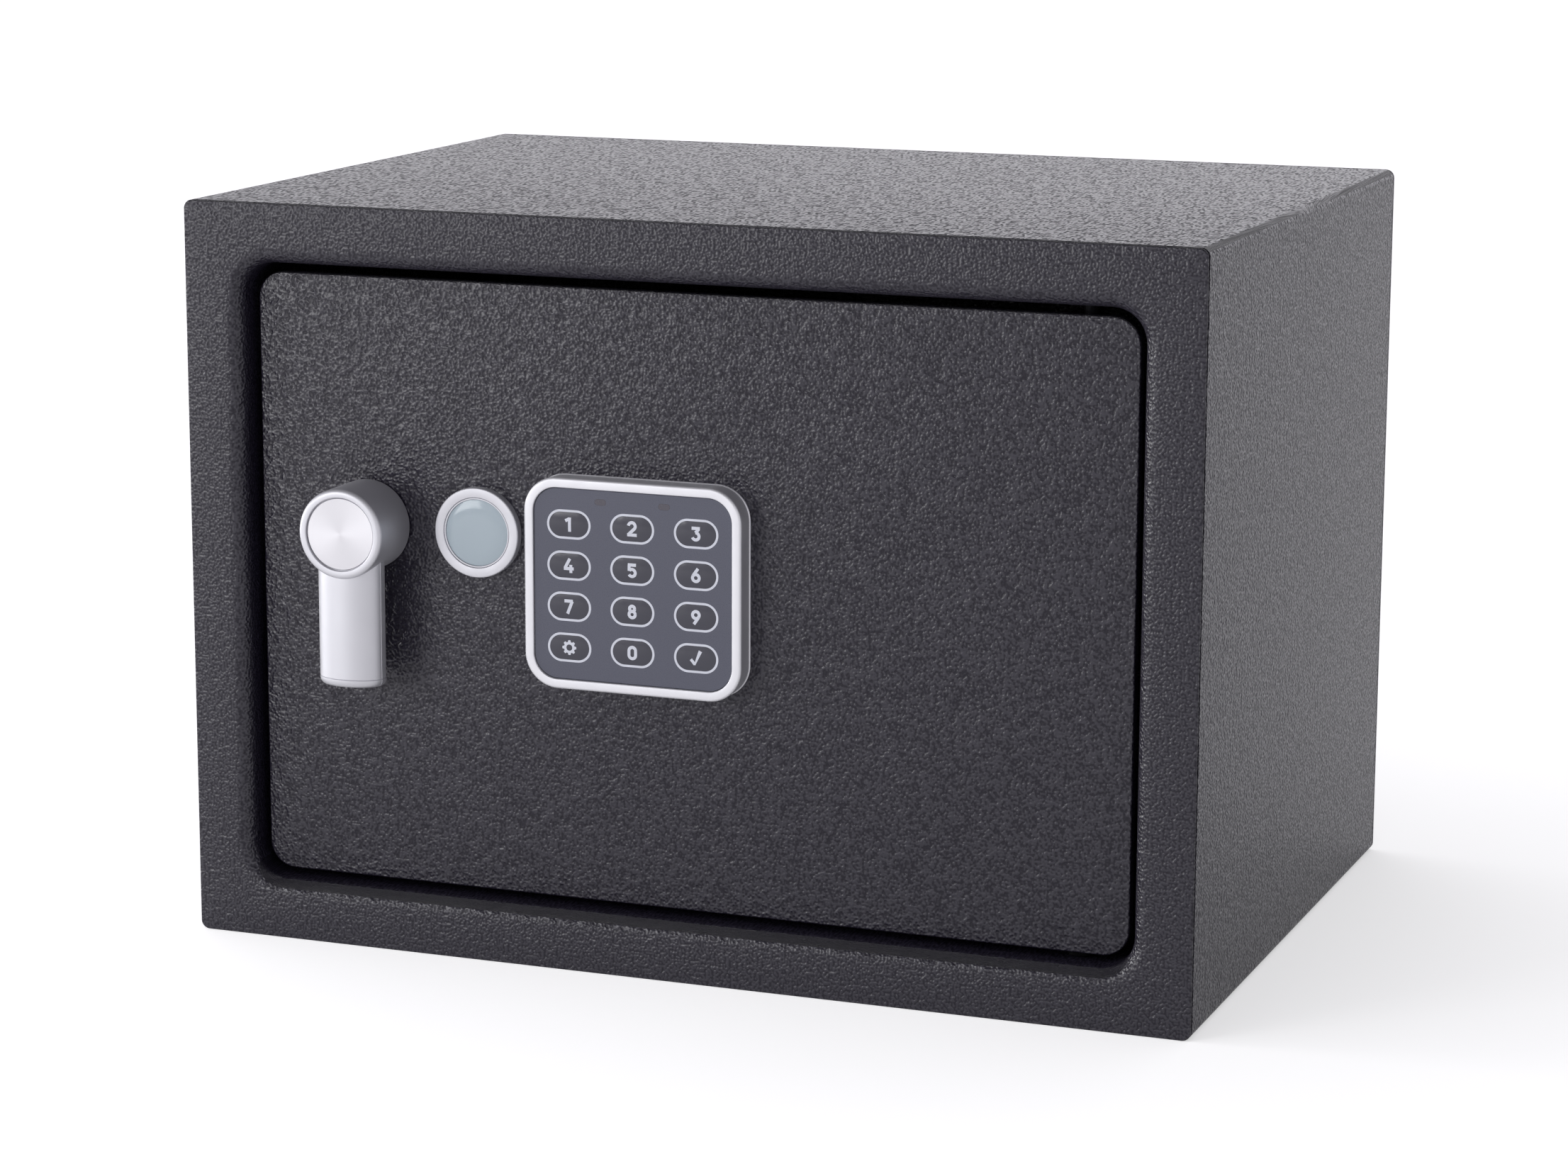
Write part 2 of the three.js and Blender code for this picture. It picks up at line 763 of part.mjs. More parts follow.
addPart('door_plate', doorPlate(), paint);
addPart('hinge_block_upper', hingeBlock(upperSeatZ - hingeBlockHeight), paint);
addPart('hinge_block_lower', hingeBlock(lowerSeatZ), paint);
addPart('hinge_pin_upper', hingePin(upperSeatZ, openingHighZ, 1, hingeCollarHeight), zincPlate);
addPart('hinge_pin_lower', hingePin(lowerSeatZ, openingLowZ, -1, lowerCollarHeight), zincPlate);

// Lever's cross-section: a flat back, two side bands and the top of an ellipse as its front.
function leverSection(z, scale) {
  const backDepth = knobFrontY + leverFrontSetback + leverCrown + leverBandDepth;
  const steps = 12;
  const start = leverCrownStart * Math.PI / 180;
  const points = [[-leverHalfWidth, 0], [leverHalfWidth, 0]];
  for (let step = 0; step <= steps; step += 1) {
    const angle = start + (Math.PI - 2 * start) * step / steps;
    const share = (Math.sin(angle) - Math.sin(start)) / (1 - Math.sin(start));
    points.push([leverHalfWidth * Math.cos(angle) / Math.cos(start), -leverBandDepth - leverCrown * share]);
  }
  return points.map(([x, y]) => [x * scale, backDepth + y * scale, z]);
}

// Knob and lever: one casting, bored at the back for the spindle and dished for the disc.
function handleCasting() {
  const softness = knobEdgeRound * (1 - Math.SQRT1_2);
  const bevel = Math.min(knobBevel, knobRecess);
  const barrel = turned('y', [
    [0, knobBackY],
    [knobRadius, knobBackY],
    [knobRadius, knobFrontY + knobEdgeRound],
    [knobRadius - softness, knobFrontY + softness],
    [knobRadius - knobEdgeRound, knobFrontY],
    [knobRimInner + bevel, knobFrontY],
    [knobRimInner, knobFrontY + bevel],
    [knobRimInner, discSeatY],
    [0, discSeatY],
  ], 0, 0, 48);
  const tipSteps = 3;
  const sections = [leverSection(-leverRootDrop, 1), leverSection(-leverStraight, 1)];
  for (let step = 1; step <= tipSteps; step += 1) {
    const angle = leverTipTurn * Math.PI / 180 * step / tipSteps;
    const scale = 1 - leverTipInset * (1 - Math.cos(angle));
    sections.push(leverSection(-leverStraight - leverTipRound * Math.sin(angle), scale));
  }
  sections.push(leverSection(-leverStraight - leverTip, leverTipPinch));
  const dish = rod('y', knobRimInner, knobFrontY - cutOver, discSeatY, 0, 0, 48);
  const bore = rod('y', spindleRadius + turningGap, spindleFrontY, knobBackY + cutOver);
  return cut(fused(barrel, loft(sections)), dish, bore);
}

// Spindle: a round bar with a square for the crank, a neck for the clip and a small head.
function spindle() {
  const neckRadius = spindleSquare - spindleNeckStep;
  return fused(
    rod('y', spindleRadius, spindleFrontY, crankFrontY),
    block(
      [-spindleSquare, crankFrontY - cutOver, -spindleSquare],
      [spindleSquare, crankBackY, spindleSquare],
    ),
    rod('y', neckRadius, crankBackY - cutOver, spindleEndY, 0, 0, 20),
    rod('y', spindleSquare, spindleHeadY, spindleEndY, 0, 0, 20),
  );
}

// Crank: a flat arm on the spindle's square, with the pin that drives the carriage.
function crank() {
  const width = 2 * crankHalfWidth;
  const arm = stadium(THREE.Shape, crankRadius + width, width, crankRadius / 2);
  const hole = spindleSquare + turningGap;
  arm.holes.push(cornered(THREE.Path, [[-hole, -hole], [-hole, hole], [hole, hole], [hole, -hole]]));
  const pinEndY = carriageBackY + crankPinProud;
  const pin = rod('y', crankPinRadius, crankBackY - cutOver, pinEndY, crankRadius);
  return fused(plate(arm, crankFrontY, crankBackY), pin);
}

// Spring clip: an open ring in the spindle's neck.
function spindleClip() {
  const inner = spindleSquare - spindleNeckStep + turningGap;
  const profile = [
    [inner, crankBackY],
    [clipRadius, crankBackY],
    [clipRadius, spindleHeadY],
    [inner, spindleHeadY],
    [inner, crankBackY],
  ];
  return cut(turned('y', profile), block(
    [-clipMouth / 2, crankBackY - cutOver, 0],
    [clipMouth / 2, spindleHeadY + cutOver, clipRadius + cutOver],
  ));
}

const handle = addGroup(knobX, 0, knobZ);
const knobDisc = rod('y', knobRimInner - discGap, discSeatY - discThickness, discSeatY, 0, 0, 48);
addPart('handle', handleCasting(), satinMetal, handle);
addPart('knob_disc', knobDisc, brushedMetal, handle);
addPart('spindle', spindle(), zincPlate, handle).rotation.y = crankStart;
addPart('crank', crank(), zincPlate, handle).rotation.y = crankStart;
addPart('spindle_clip', spindleClip(), zincPlate, handle);
addPart('spindle_bush', turned('y', [
  [bushInner, doorFrontY],
  [bushOuter, doorFrontY],
  [bushOuter, doorBackY],
  [bushOuter + bushFlangeLip, doorBackY],
  [bushOuter + bushFlangeLip, bushBackY],
  [bushInner, bushBackY],
  [bushInner, doorFrontY],
], knobX, knobZ), blackPlastic);

// Bolt guide: folded sheet on the door's edge, with a foot and two holes for the bolts.
function boltGuide() {
  const angle = cornered(THREE.Shape, [
    [guideX, doorBackY],
    [guideX + guideFoot, doorBackY],
    [guideX + guideFoot, doorBackY + guideSheet],
    [coverLeftX, doorBackY + guideSheet],
    [coverLeftX, coverBackY],
    [guideX, coverBackY],
  ]);
  const holeRadius = boltRadius + turningGap;
  const through = [guideX - cutOver, coverLeftX + cutOver];
  const holes = boltHeights.map((z) => rod('x', holeRadius, ...through, boltY, z, 32));
  return cut(column(angle, coverLowZ + coverRadius, coverHighZ - coverRadius), ...holes);
}

// Carriage: a flat strip with a flange that holds the bolts, an upright slot for the crank's
// pin, a level slot for the guide stud, and a tab that the solenoid's plunger blocks.
function boltCarriage() {
  const lowZ = boltHeights[1] - boltRadius - boltSeatMargin;
  const highZ = boltHeights[0] + boltRadius + boltSeatMargin;
  const slotLeftX = crankPinX - crankPinRadius - slotGap;
  const slotHighZ = crankPinZ + crankPinRadius + slotGap;
  const slotLowZ = knobZ - crankRadius - crankPinRadius - slotGap;
  const stripX = carriageLeftX + carriageStripWidth;
  const armLowZ = guideStudZ - guideStudRadius - slotFloor;
  const armHighZ = plungerTipZ - plungerTravel - tabFootGap;
  const tabX = plungerX + plungerRadius + plungerSideGap;
  const armX = tabX + boltThrow - 2 * (plungerRadius + plungerSideGap);
  const outline = cornered(THREE.Shape, [
    [carriageLeftX, lowZ],
    [stripX, lowZ],
    [stripX, armLowZ],
    [armX, armLowZ],
    [armX, plungerTipZ - tabTopGap],
    [tabX, plungerTipZ - tabTopGap],
    [tabX, armHighZ],
    [shoulderX, armHighZ],
    [shoulderX, slotHighZ + slotRoof],
    [stripX, slotHighZ + slotRoof],
    [stripX, highZ],
    [carriageLeftX, highZ],
  ]);
  outline.holes.push(cornered(THREE.Path, [
    [slotLeftX, slotLowZ],
    [slotLeftX, slotHighZ],
    [slotRightX, slotHighZ],
    [slotRightX, slotLowZ],
  ]));
  const studSlot = 2 * (guideStudRadius + turningGap);
  const studMiddle = guideStudX + boltThrow / 2;
  outline.holes.push(stadium(THREE.Path, boltThrow + studSlot, studSlot, studMiddle, guideStudZ));
  const flange = block(
    [carriageLeftX, carriageFrontY, lowZ],
    [carriageLeftX + carriageSheet, boltY + boltRadius + carriageFlangeProud, highZ],
  );
  return fused(plate(outline, carriageFrontY, carriageBackY), flange);
}

const lockingBolt = turned('x', [
  [0, boltTipX],
  [boltRadius - boltChamfer, boltTipX],
  [boltRadius, boltTipX + boltChamfer],
  [boltRadius, carriageLeftX],
  [0, carriageLeftX],
], 0, 0, 32);

addPart('bolt_guide', boltGuide(), paint);
addPart('bolt_carriage', boltCarriage(), zincPlate);
['upper', 'lower'].forEach((end, order) => {
  addPart(`locking_bolt_${end}`, lockingBolt, brushedMetal).position.set(0, boltY, boltHeights[order]);
});

// Solenoid: its plunger drops beside the carriage's tab and blocks the bolts.
function solenoidBody() {
  const half = solenoidWidth / 2;
  const depth = plungerY - doorBackY;
  const backWall = block([-half, -depth, solenoidLowZ], [half, solenoidSheet - depth, solenoidHighZ]);
  const base = block([-half, -depth, solenoidLowZ], [half, depth, solenoidLowZ + solenoidSheet]);
  const head = block([-half, -depth, solenoidHighZ - solenoidSheet], [half, depth, solenoidHighZ]);
  const boreRadius = plungerRadius + turningGap;
  const coil = rod('z', boreRadius + coilWall, solenoidLowZ + 1, solenoidHighZ - 1);
  const bore = rod('z', boreRadius, solenoidLowZ - cutOver, solenoidHighZ - solenoidHeadWall, 0, 0, 20);
  return cut(fused(backWall, base, head, coil), bore);
}

function plunger() {
  const topZ = solenoidHighZ - solenoidHeadWall - plungerTopGap;
  return turned('z', [
    [0, topZ],
    [plungerRadius, topZ],
    [plungerRadius, collarZ + collarHeight],
    [collarRadius, collarZ + collarHeight],
    [collarRadius, collarZ],
    [plungerRadius, collarZ],
    [plungerRadius, plungerTipZ + plungerTipChamfer],
    [plungerRadius - plungerTipChamfer, plungerTipZ],
    [0, plungerTipZ],
  ], 0, 0, 20);
}

// Coil spring between the collar and the solenoid, one unbroken wire of five sides.
function plungerSpring() {
  const stepsPerTurn = 12;
  const sides = 5;
  const wireHalf = springWire / 2;
  const coilRadius = plungerRadius + turningGap + springWire;
  const lowZ = collarZ + collarHeight + wireHalf + springSeatGap;
  const highZ = solenoidLowZ - wireHalf - springSeatGap;
  const rings = [];
  for (let step = 0; step <= springTurns * stepsPerTurn; step += 1) {
    const angle = (step / stepsPerTurn) * 2 * Math.PI;
    const height = lowZ + (highZ - lowZ) * step / (springTurns * stepsPerTurn);
    const ring = [];
    for (let side = 0; side < sides; side += 1) {
      const around = (side / sides) * 2 * Math.PI;
      const radius = coilRadius + wireHalf * Math.cos(around);
      ring.push([radius * Math.cos(angle), radius * Math.sin(angle), height + wireHalf * Math.sin(around)]);
    }
    rings.push(ring);
  }
  return loft(rings);
}

const solenoid = addGroup(plungerX, plungerY, 0);
addPart('solenoid_body', solenoidBody(), zincPlate, solenoid);
addPart('solenoid_plunger', plunger(), zincPlate, solenoid);
addPart('solenoid_spring', plungerSpring(), zincPlate, solenoid);

// Override lock: a flanged barrel through the door.
function lockBody() {
  const flangeY = doorFrontY - lockFlangeThickness;
  const bore = plugRadius + turningGap;
  return turned('y', [
    [bore, flangeY],
    [lockFlangeRadius, flangeY],
    [lockFlangeRadius, doorFrontY],
    [lockRadius, doorFrontY],
    [lockRadius, lockBackY],
    [bore, lockBackY],
    [bore, flangeY],
  ]);
}

// Plug: slotted for the key in front, with a square tang behind that turns the tail.
function lockPlug() {
  const faceY = doorFrontY - lockFlangeThickness + turningGap;
  const tang = tangSize / 2;
  const tangEndY = tailFrontY + tailThickness;
  const plug = fused(
    rod('y', plugRadius, faceY, lockBackY),
    block([-tang, lockBackY - cutOver, -tang], [tang, tangEndY, tang]),
    rod('y', tang + tangHeadLip, tangEndY, tangEndY + tangHeadThickness, 0, 0, 20),
  );
  const slot = block(
    [-keySlotWidth / 2, faceY - cutOver, -keySlotHeight / 2],
    [keySlotWidth / 2, faceY + keySlotDepth, keySlotHeight / 2],
  );
  return cut(plug, slot);
}

function lockTail() {
  const backOfTailY = tailFrontY + tailThickness;
  const hub = rod('y', tailHubRadius, tailFrontY, backOfTailY);
  const arm = block([-tailHalfWidth, tailFrontY, -tailReach], [tailHalfWidth, backOfTailY, 0]);
  const hole = tangSize / 2 + turningGap;
  const square = block([-hole, tailFrontY - cutOver, -hole], [hole, backOfTailY + cutOver, hole]);
  return cut(fused(hub, arm), square);
}

// Six-sided nut that clamps the barrel to the door.
function lockNut() {
  const sides = 6;
  const corners = Array.from({ length: sides }, (_, side) => {
    const angle = (side / sides) * 2 * Math.PI;
    return [lockNutRadius * Math.cos(angle), lockNutRadius * Math.sin(angle)];
  });
  const outline = cornered(THREE.Shape, corners);
  outline.holes.push(new THREE.Path().absarc(0, 0, lockRadius + turningGap, 0, 2 * Math.PI));
  return plate(outline, doorBackY, doorBackY + lockNutThickness, 16);
}

// Cap: a dished ring that hides the lock's face.
function capRing() {
  const dishRadius = capRadius - capRimWidth;
  const bevel = Math.min(capBevel, capDish);
  return turned('y', [
    [0, capDishY],
    [dishRadius, capDishY],
    [dishRadius, capFrontY + bevel],
    [dishRadius + bevel, capFrontY],
    [capRadius - capEdgeRound, capFrontY],
    [capRadius, capFrontY + capEdgeRound],
    [capRadius, doorFrontY],
    [lockFlangeRadius + turningGap, doorFrontY],
    [lockFlangeRadius + turningGap, capWebY],
    [0, capWebY],
  ], 0, 0, 32);
}

// Resin disc in the cap's dish, crowned towards its middle.
function capDisc() {
  const radius = capRadius - capRimWidth - turningGap;
  const crown = Math.min(resinCrown, capDish);
  return turned('y', [
    [0, capDishY],
    [radius, capDishY],
    [radius, capFrontY + crown],
    [radius - resinShoulder, capFrontY + crown / 4],
    [0, capFrontY],
  ], 0, 0, 32);
}

const lock = addGroup(lockX, 0, lockZ);
addPart('lock_body', lockBody(), satinMetal, lock);
addPart('lock_plug', lockPlug(), brass, lock);
addPart('lock_tail', lockTail(), zincPlate, lock);
addPart('lock_nut', lockNut(), zincPlate, lock);
addPart('badge_ring', capRing(), satinMetal, lock);
addPart('badge_disc', capDisc(), resin, lock);

// Outline of the keypad, drawn in from its outer size.
function keypadRing(y, inset) {
  return roundedRing({
    width: keypadWidth - 2 * inset,
    height: keypadHeight - 2 * inset,
    radius: keypadRadius - inset,
    y,
  });
}

// Bezel: a crested rim around the panel, with side walls down to the door.
function keypadBezel() {
  const steps = 5;
  const radius = Math.min(keypadRimRound, keypadRim);
  const round = [];
  for (let step = 0; step <= steps; step += 1) {
    const angle = (step / steps) * Math.PI / 2;
    round.push(keypadRing(
      keypadFrontY + radius * (1 - Math.sin(angle)),
      radius * (1 - Math.cos(angle)),
    ));
  }
  return loft([
    keypadRing(0, 0),
    ...round,
    keypadRing(keypadFrontY + keypadRimFall, keypadRim),
    keypadRing(panelBackY, keypadRim),
    keypadRing(panelBackY, keypadWall),
    keypadRing(0, keypadWall),
  ], true);
}

// Tray behind the panel: a floor on the door and a wall that the panel rests on.
function keypadBase() {
  const tray = cut(
    loft([keypadRing(0, baseInset), keypadRing(panelBackY, baseInset)]),
    loft([keypadRing(-keypadFloor, baseWallInset), keypadRing(panelBackY - cutOver, baseWallInset)]),
  );
  const slotZ = ribbonZ - keypadZ;
  const halfHeight = ribbonWidth / 2 + ribbonMargin;
  return cut(tray, block(
    [-ribbonSlotWidth / 2, -keypadFloor - cutOver, slotZ - halfHeight],
    [ribbonSlotWidth / 2, cutOver, slotZ + halfHeight],
  ));
}

// Flat layer inside the tray, such as the board or the silicone mat.
function trayLayer(yFront, yBack) {
  return loft([keypadRing(yFront, boardInset), keypadRing(yBack, boardInset)]);
}

function keyPlace(row, place) {
  return [(place - 1) * keyPitchX, keyTopRow - row * keyPitchZ];
}

// Panel with a hole for each key and two for the lights.
function keypadPanel() {
  const outline = roundedOutline(
    THREE.Shape,
    keypadWidth - 2 * panelInset,
    keypadHeight - 2 * panelInset,
    keypadRadius - panelInset,
  );
  const keyHole = [keyWidth + 2 * keyGap, keyHeight + 2 * keyGap];
  keyRows.forEach((names, row) => names.forEach((_, place) => {
    outline.holes.push(stadium(THREE.Path, ...keyHole, ...keyPlace(row, place)));
  }));
  const windowHole = [windowWidth + 2 * panelGap, windowHeight + 2 * panelGap];
  for (const side of [-1, 1]) {
    outline.holes.push(stadium(THREE.Path, ...windowHole, side * keyPitchX / 2, windowZ));
  }
  return plate(outline, panelFrontY, panelBackY, 2);
}

// Push key: a low crown, a straight stem and a lip that the panel holds back.
function keyCap() {
  const ring = (y, inset) => roundedRing({
    width: keyWidth - 2 * inset,
    height: keyHeight - 2 * inset,
    radius: keyHeight / 2 - inset - arcGap,
    y,
    steps: 3,
  });
  return loft([
    ring(panelFrontY - keyProud, keyCrownInset),
    ring(panelFrontY, 0),
    ring(panelBackY, 0),
    ring(panelBackY, -keyLip),
    ring(panelBackY + keyLipThickness, -keyLip),
  ]);
}

// Light pipe: a bar behind the panel with two windows that come through it.
function ledLens() {
  const barHalf = keyPitchX / 2 + windowWidth / 2 + windowBarLip;
  const barLowZ = windowZ - windowHeight / 2 - windowBarLip;
  const barHighZ = windowZ + windowHeight / 2 + windowBarLip;
  const barBackY = panelBackY + windowBarThickness;
  const bar = block([-barHalf, panelBackY, barLowZ], [barHalf, barBackY, barHighZ]);
  const windows = [-1, 1].map((side) => {
    const outline = stadium(THREE.Shape, windowWidth, windowHeight, side * keyPitchX / 2, windowZ);
    return plate(outline, panelFrontY, barBackY, 2);
  });
  return fused(bar, ...windows);
}

const keypad = addGroup(keypadX, doorFrontY, keypadZ);
addPart('keypad_bezel', keypadBezel(), satinMetal, keypad);
addPart('keypad_base', keypadBase(), blackPlastic, keypad);
addPart('keypad_board', trayLayer(boardFrontY, -keypadFloor), boardGreen, keypad);
addPart('key_mat', trayLayer(keyMatFrontY, boardFrontY), rubber, keypad);
addPart('keypad_panel', keypadPanel(), slatePlastic, keypad);
addPart('led_lens', ledLens(), blackPlastic, keypad);
const keyShape = keyCap();
keyRows.forEach((names, row) => names.forEach((name, place) => {
  const [x, z] = keyPlace(row, place);
  addPart(`key_${name}`, keyShape, slatePlastic, keypad).position.set(x, 0, z);
}));

// Mechanism cover on the door's back, open towards the door and slotted for the bolts.
function coverRing(y, inset) {
  return roundedRing({
    width: coverRightX - coverLeftX - 2 * inset,
    height: coverHighZ - coverLowZ - 2 * inset,
    radius: coverRadius - inset,
    x: (coverRightX + coverLeftX) / 2,
    y,
    z: (coverHighZ + coverLowZ) / 2,
    steps: 4,
  });
}

// Slots in the cover's left wall: one for each bolt, and one for the guide's foot.
function coverSlots() {
  const [nearX, farX] = [coverLeftX - cutOver, coverLeftX + coverWall + cutOver];
  const slotRadius = boltRadius + coverBoltSlotGap;
  const boltSlots = boltHeights.flatMap((z) => [
    rod('x', slotRadius, nearX, farX, boltY, z),
    block([nearX, doorBackY - cutOver, z - slotRadius], [farX, boltY, z + slotRadius]),
  ]);
  const footLowZ = coverLowZ + coverRadius - turningGap;
  const footHighZ = coverHighZ - coverRadius + turningGap;
  const footBackY = doorBackY + guideSheet + turningGap;
  return [...boltSlots, block([nearX, doorBackY - cutOver, footLowZ], [farX, footBackY, footHighZ])];
}

// Posts inside the cover that carry the control board's corners.
function boardPosts() {
  const reachX = controlBoardWidth / 2 - boardPostInset;
  const reachZ = controlBoardHeight / 2 - boardPostInset;
  return [[-1, -1], [-1, 1], [1, -1], [1, 1]].map(([sideX, sideZ]) => rod(
    'y',
    boardPostRadius,
    controlBoardBackY,
    coverInnerY + coverWall / 2,
    controlBoardX + sideX * reachX,
    controlBoardZ + sideZ * reachZ,
    12,
  ));
}

function doorCover() {
  const skin = loft([
    coverRing(doorBackY, 0),
    coverRing(coverBackY - coverRoll, 0),
    coverRing(coverBackY - coverRoll * 0.3, coverRoll * 0.3),
    coverRing(coverBackY, coverRoll),
  ]);
  const hollow = loft([
    coverRing(doorBackY - cutOver, coverWall),
    coverRing(coverBackY - coverRoll, coverWall),
    coverRing(coverInnerY, coverRoll),
  ]);
  const through = [coverInnerY - cutOver, coverBackY + cutOver];
  const [mouthHalfX, mouthHalfZ] = [trayHalfX + turningGap, trayHalfZ + turningGap];
  const trayMouth = block(
    [batteryX - mouthHalfX, through[0], batteryZ - mouthHalfZ],
    [batteryX + mouthHalfX, through[1], batteryZ + mouthHalfZ],
  );
  const screwHoles = coverStudHeights.map((z) => (
    rod('y', screwRadius + turningGap, ...through, coverStudX, z, 16)
  ));
  const resetHole = rod('y', resetRadius + turningGap, ...through, resetX, resetZ, 20);
  const shell = fused(cut(skin, hollow), ...boardPosts());
  return cut(shell, ...coverSlots(), trayMouth, ...screwHoles, resetHole);
}

// Ribbon cable: out of the keypad's tray, through the door and over to the plug on the board.
function ribbonCable() {
  const half = ribbonThickness / 2;
  const startY = doorFrontY - keypadFloor + turningGap;
  const turnY = doorBackY + ribbonTurnGap;
  const plugY = controlBoardFrontY - boardPlugDepth;
  const plugX = controlBoardX - controlBoardWidth / 2 + boardPlugInset;
  const bendY = plugY - boardPlugDepth / 2;
  const endY = plugY + boardPlugDepth / 2;
  const strip = cornered(THREE.Shape, [
    [ribbonX - half, startY],
    [ribbonX + half, startY],
    [ribbonX + half, turnY - half],
    [plugX + half, bendY - half],
    [plugX + half, endY],
    [plugX - half, endY],
    [plugX - half, bendY + half],
    [ribbonX - half, turnY + half],
  ]);
  const cable = column(strip, ribbonZ - ribbonWidth / 2, ribbonZ + ribbonWidth / 2);
  const plugHalfHeight = ribbonWidth / 2 + ribbonMargin;
  const plug = block(
    [plugX - boardPlugWidth / 2, plugY, ribbonZ - plugHalfHeight],
    [plugX + boardPlugWidth / 2, controlBoardFrontY, ribbonZ + plugHalfHeight],
  );
  return fused(cable, plug);
}

const controlBoard = block(
  [controlBoardX - controlBoardWidth / 2, controlBoardFrontY, controlBoardZ - controlBoardHeight / 2],
  [controlBoardX + controlBoardWidth / 2, controlBoardBackY, controlBoardZ + controlBoardHeight / 2],
);
const coverScrew = turned('y', [
  [0, coverInnerY - screwReach],
  [screwRadius, coverInnerY - screwReach],
  [screwRadius, coverBackY],
  [screwHeadRadius, coverBackY],
  [screwHeadRadius, coverBackY + screwHeadHeight / 2],
  [screwHeadTop, coverBackY + screwHeadHeight],
  [0, coverBackY + screwHeadHeight],
], 0, 0, 20);

addPart('door_cover', doorCover(), blackPlastic);
addPart('control_board', controlBoard, boardGreen);
addPart('ribbon_cable', ribbonCable(), rubber);
['lower', 'upper'].forEach((end, order) => {
  addPart(`cover_screw_${end}`, coverScrew, zincPlate).position.set(coverStudX, 0, coverStudHeights[order]);
});

// Battery tray, around the box's own centre: a pocket hung in the cover by its flange.
function batteryTray() {
  const body = block([-trayHalfX, trayFloorY, -trayHalfZ], [trayHalfX, trayFlangeY, trayHalfZ]);
  const flange = block(
    [-trayHalfX - trayFlange, coverBackY, -trayHalfZ - trayFlange],
    [trayHalfX + trayFlange, trayFlangeY, trayHalfZ + trayFlange],
  );
  const pocket = block(
    [-trayHalfX + trayWall, trayFloorY + trayWall, -trayHalfZ + trayWall],
    [trayHalfX - trayWall, trayFlangeY + cutOver, trayHalfZ - trayWall],
  );
  return cut(fused(body, flange), pocket);
}

function cellHeight(order) {
  return (order - (batteryCount - 1) / 2) * batteryPitch;
}

// Contact strip: a thin plate at one end of the cells with a raised button for each.
function contactStrip(side) {
  const wallX = side * (trayHalfX - trayWall);
  const faceX = wallX - side * contactThickness;
  const bumpX = side * (batteryLength / 2 + cellEndGap);
  const [low, high] = [Math.min(wallX, faceX), Math.max(wallX, faceX)];
  const halfDepth = batteryRadius - contactInset;
  const halfHeight = trayHalfZ - trayWall - traySideRoom;
  const strip = block([low, cellY - halfDepth, -halfHeight], [high, cellY + halfDepth, halfHeight]);
  const rootX = (wallX + faceX) / 2;
  const ends = [Math.min(rootX, bumpX), Math.max(rootX, bumpX)];
  const orders = Array.from({ length: batteryCount }, (_, order) => order);
  return fused(strip, ...orders.map((order) => (
    rod('x', contactBumpRadius, ...ends, cellY, cellHeight(order), 12)
  )));
}

const cell = turned('x', [
  [0, -batteryLength / 2],
  [batteryRadius - cellEndRound, -batteryLength / 2],
  [batteryRadius, -batteryLength / 2 + cellEndRound],
  [batteryRadius, batteryLength / 2 - cellButtonHeight],
  [cellButtonRadius, batteryLength / 2 - cellButtonHeight],
  [cellButtonRadius, batteryLength / 2],
  [0, batteryLength / 2],
], 0, 0, 20);
const lidHalfX = trayHalfX + trayFlange - lidInset;
const lidHalfZ = trayHalfZ + trayFlange - lidInset;
const lid = block([-lidHalfX, trayFlangeY, -lidHalfZ], [lidHalfX, trayFlangeY + lidThickness, lidHalfZ]);

const batteryBox = addGroup(batteryX, 0, batteryZ);
addPart('battery_tray', batteryTray(), blackPlastic, batteryBox);
addPart('battery_contact_left', contactStrip(-1), zincPlate, batteryBox);
addPart('battery_contact_right', contactStrip(1), zincPlate, batteryBox);
for (let order = 0; order < batteryCount; order += 1) {
  const battery = addPart(`battery_${order + 1}`, cell, cellJacket, batteryBox);
  battery.position.set(0, cellY, cellHeight(order));
  battery.rotation.y = order % 2 === 0 ? 0 : Math.PI;
}
addPart('battery_lid', lid, blackPlastic, batteryBox);

// Reset button: its head stands out of the cover, its lip bears on the cover's inside.
const resetFaceY = coverBackY + resetTravel + resetPressedProud;
addPart('reset_button', turned('y', [
  [0, coverInnerY - resetLipThickness],
  [resetRadius + resetLip, coverInnerY - resetLipThickness],
  [resetRadius + resetLip, coverInnerY],
  [resetRadius, coverInnerY],
  [resetRadius, resetFaceY - resetEdgeBreak],
  [resetRadius - resetEdgeBreak, resetFaceY],
  [0, resetFaceY],
], resetX, resetZ, 20), redPlastic);

export default safe;
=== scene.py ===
import json
import math

import bmesh
import bpy
import numpy as np
from mathutils import Matrix, Vector


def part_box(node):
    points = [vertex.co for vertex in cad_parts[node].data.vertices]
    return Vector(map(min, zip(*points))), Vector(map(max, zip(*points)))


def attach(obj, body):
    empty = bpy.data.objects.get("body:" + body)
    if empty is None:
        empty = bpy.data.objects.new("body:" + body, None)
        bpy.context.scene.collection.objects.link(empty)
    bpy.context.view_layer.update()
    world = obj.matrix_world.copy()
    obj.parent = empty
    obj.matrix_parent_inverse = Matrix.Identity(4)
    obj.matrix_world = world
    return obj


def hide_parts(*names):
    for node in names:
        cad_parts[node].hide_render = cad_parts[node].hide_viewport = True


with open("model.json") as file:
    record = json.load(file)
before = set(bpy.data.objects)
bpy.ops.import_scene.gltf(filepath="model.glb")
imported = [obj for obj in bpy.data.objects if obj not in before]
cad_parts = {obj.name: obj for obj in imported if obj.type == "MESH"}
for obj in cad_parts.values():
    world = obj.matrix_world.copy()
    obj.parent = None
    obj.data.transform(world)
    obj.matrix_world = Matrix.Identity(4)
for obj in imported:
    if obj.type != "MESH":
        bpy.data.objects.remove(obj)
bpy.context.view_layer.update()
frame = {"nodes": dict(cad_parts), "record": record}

nodes = frame["nodes"]
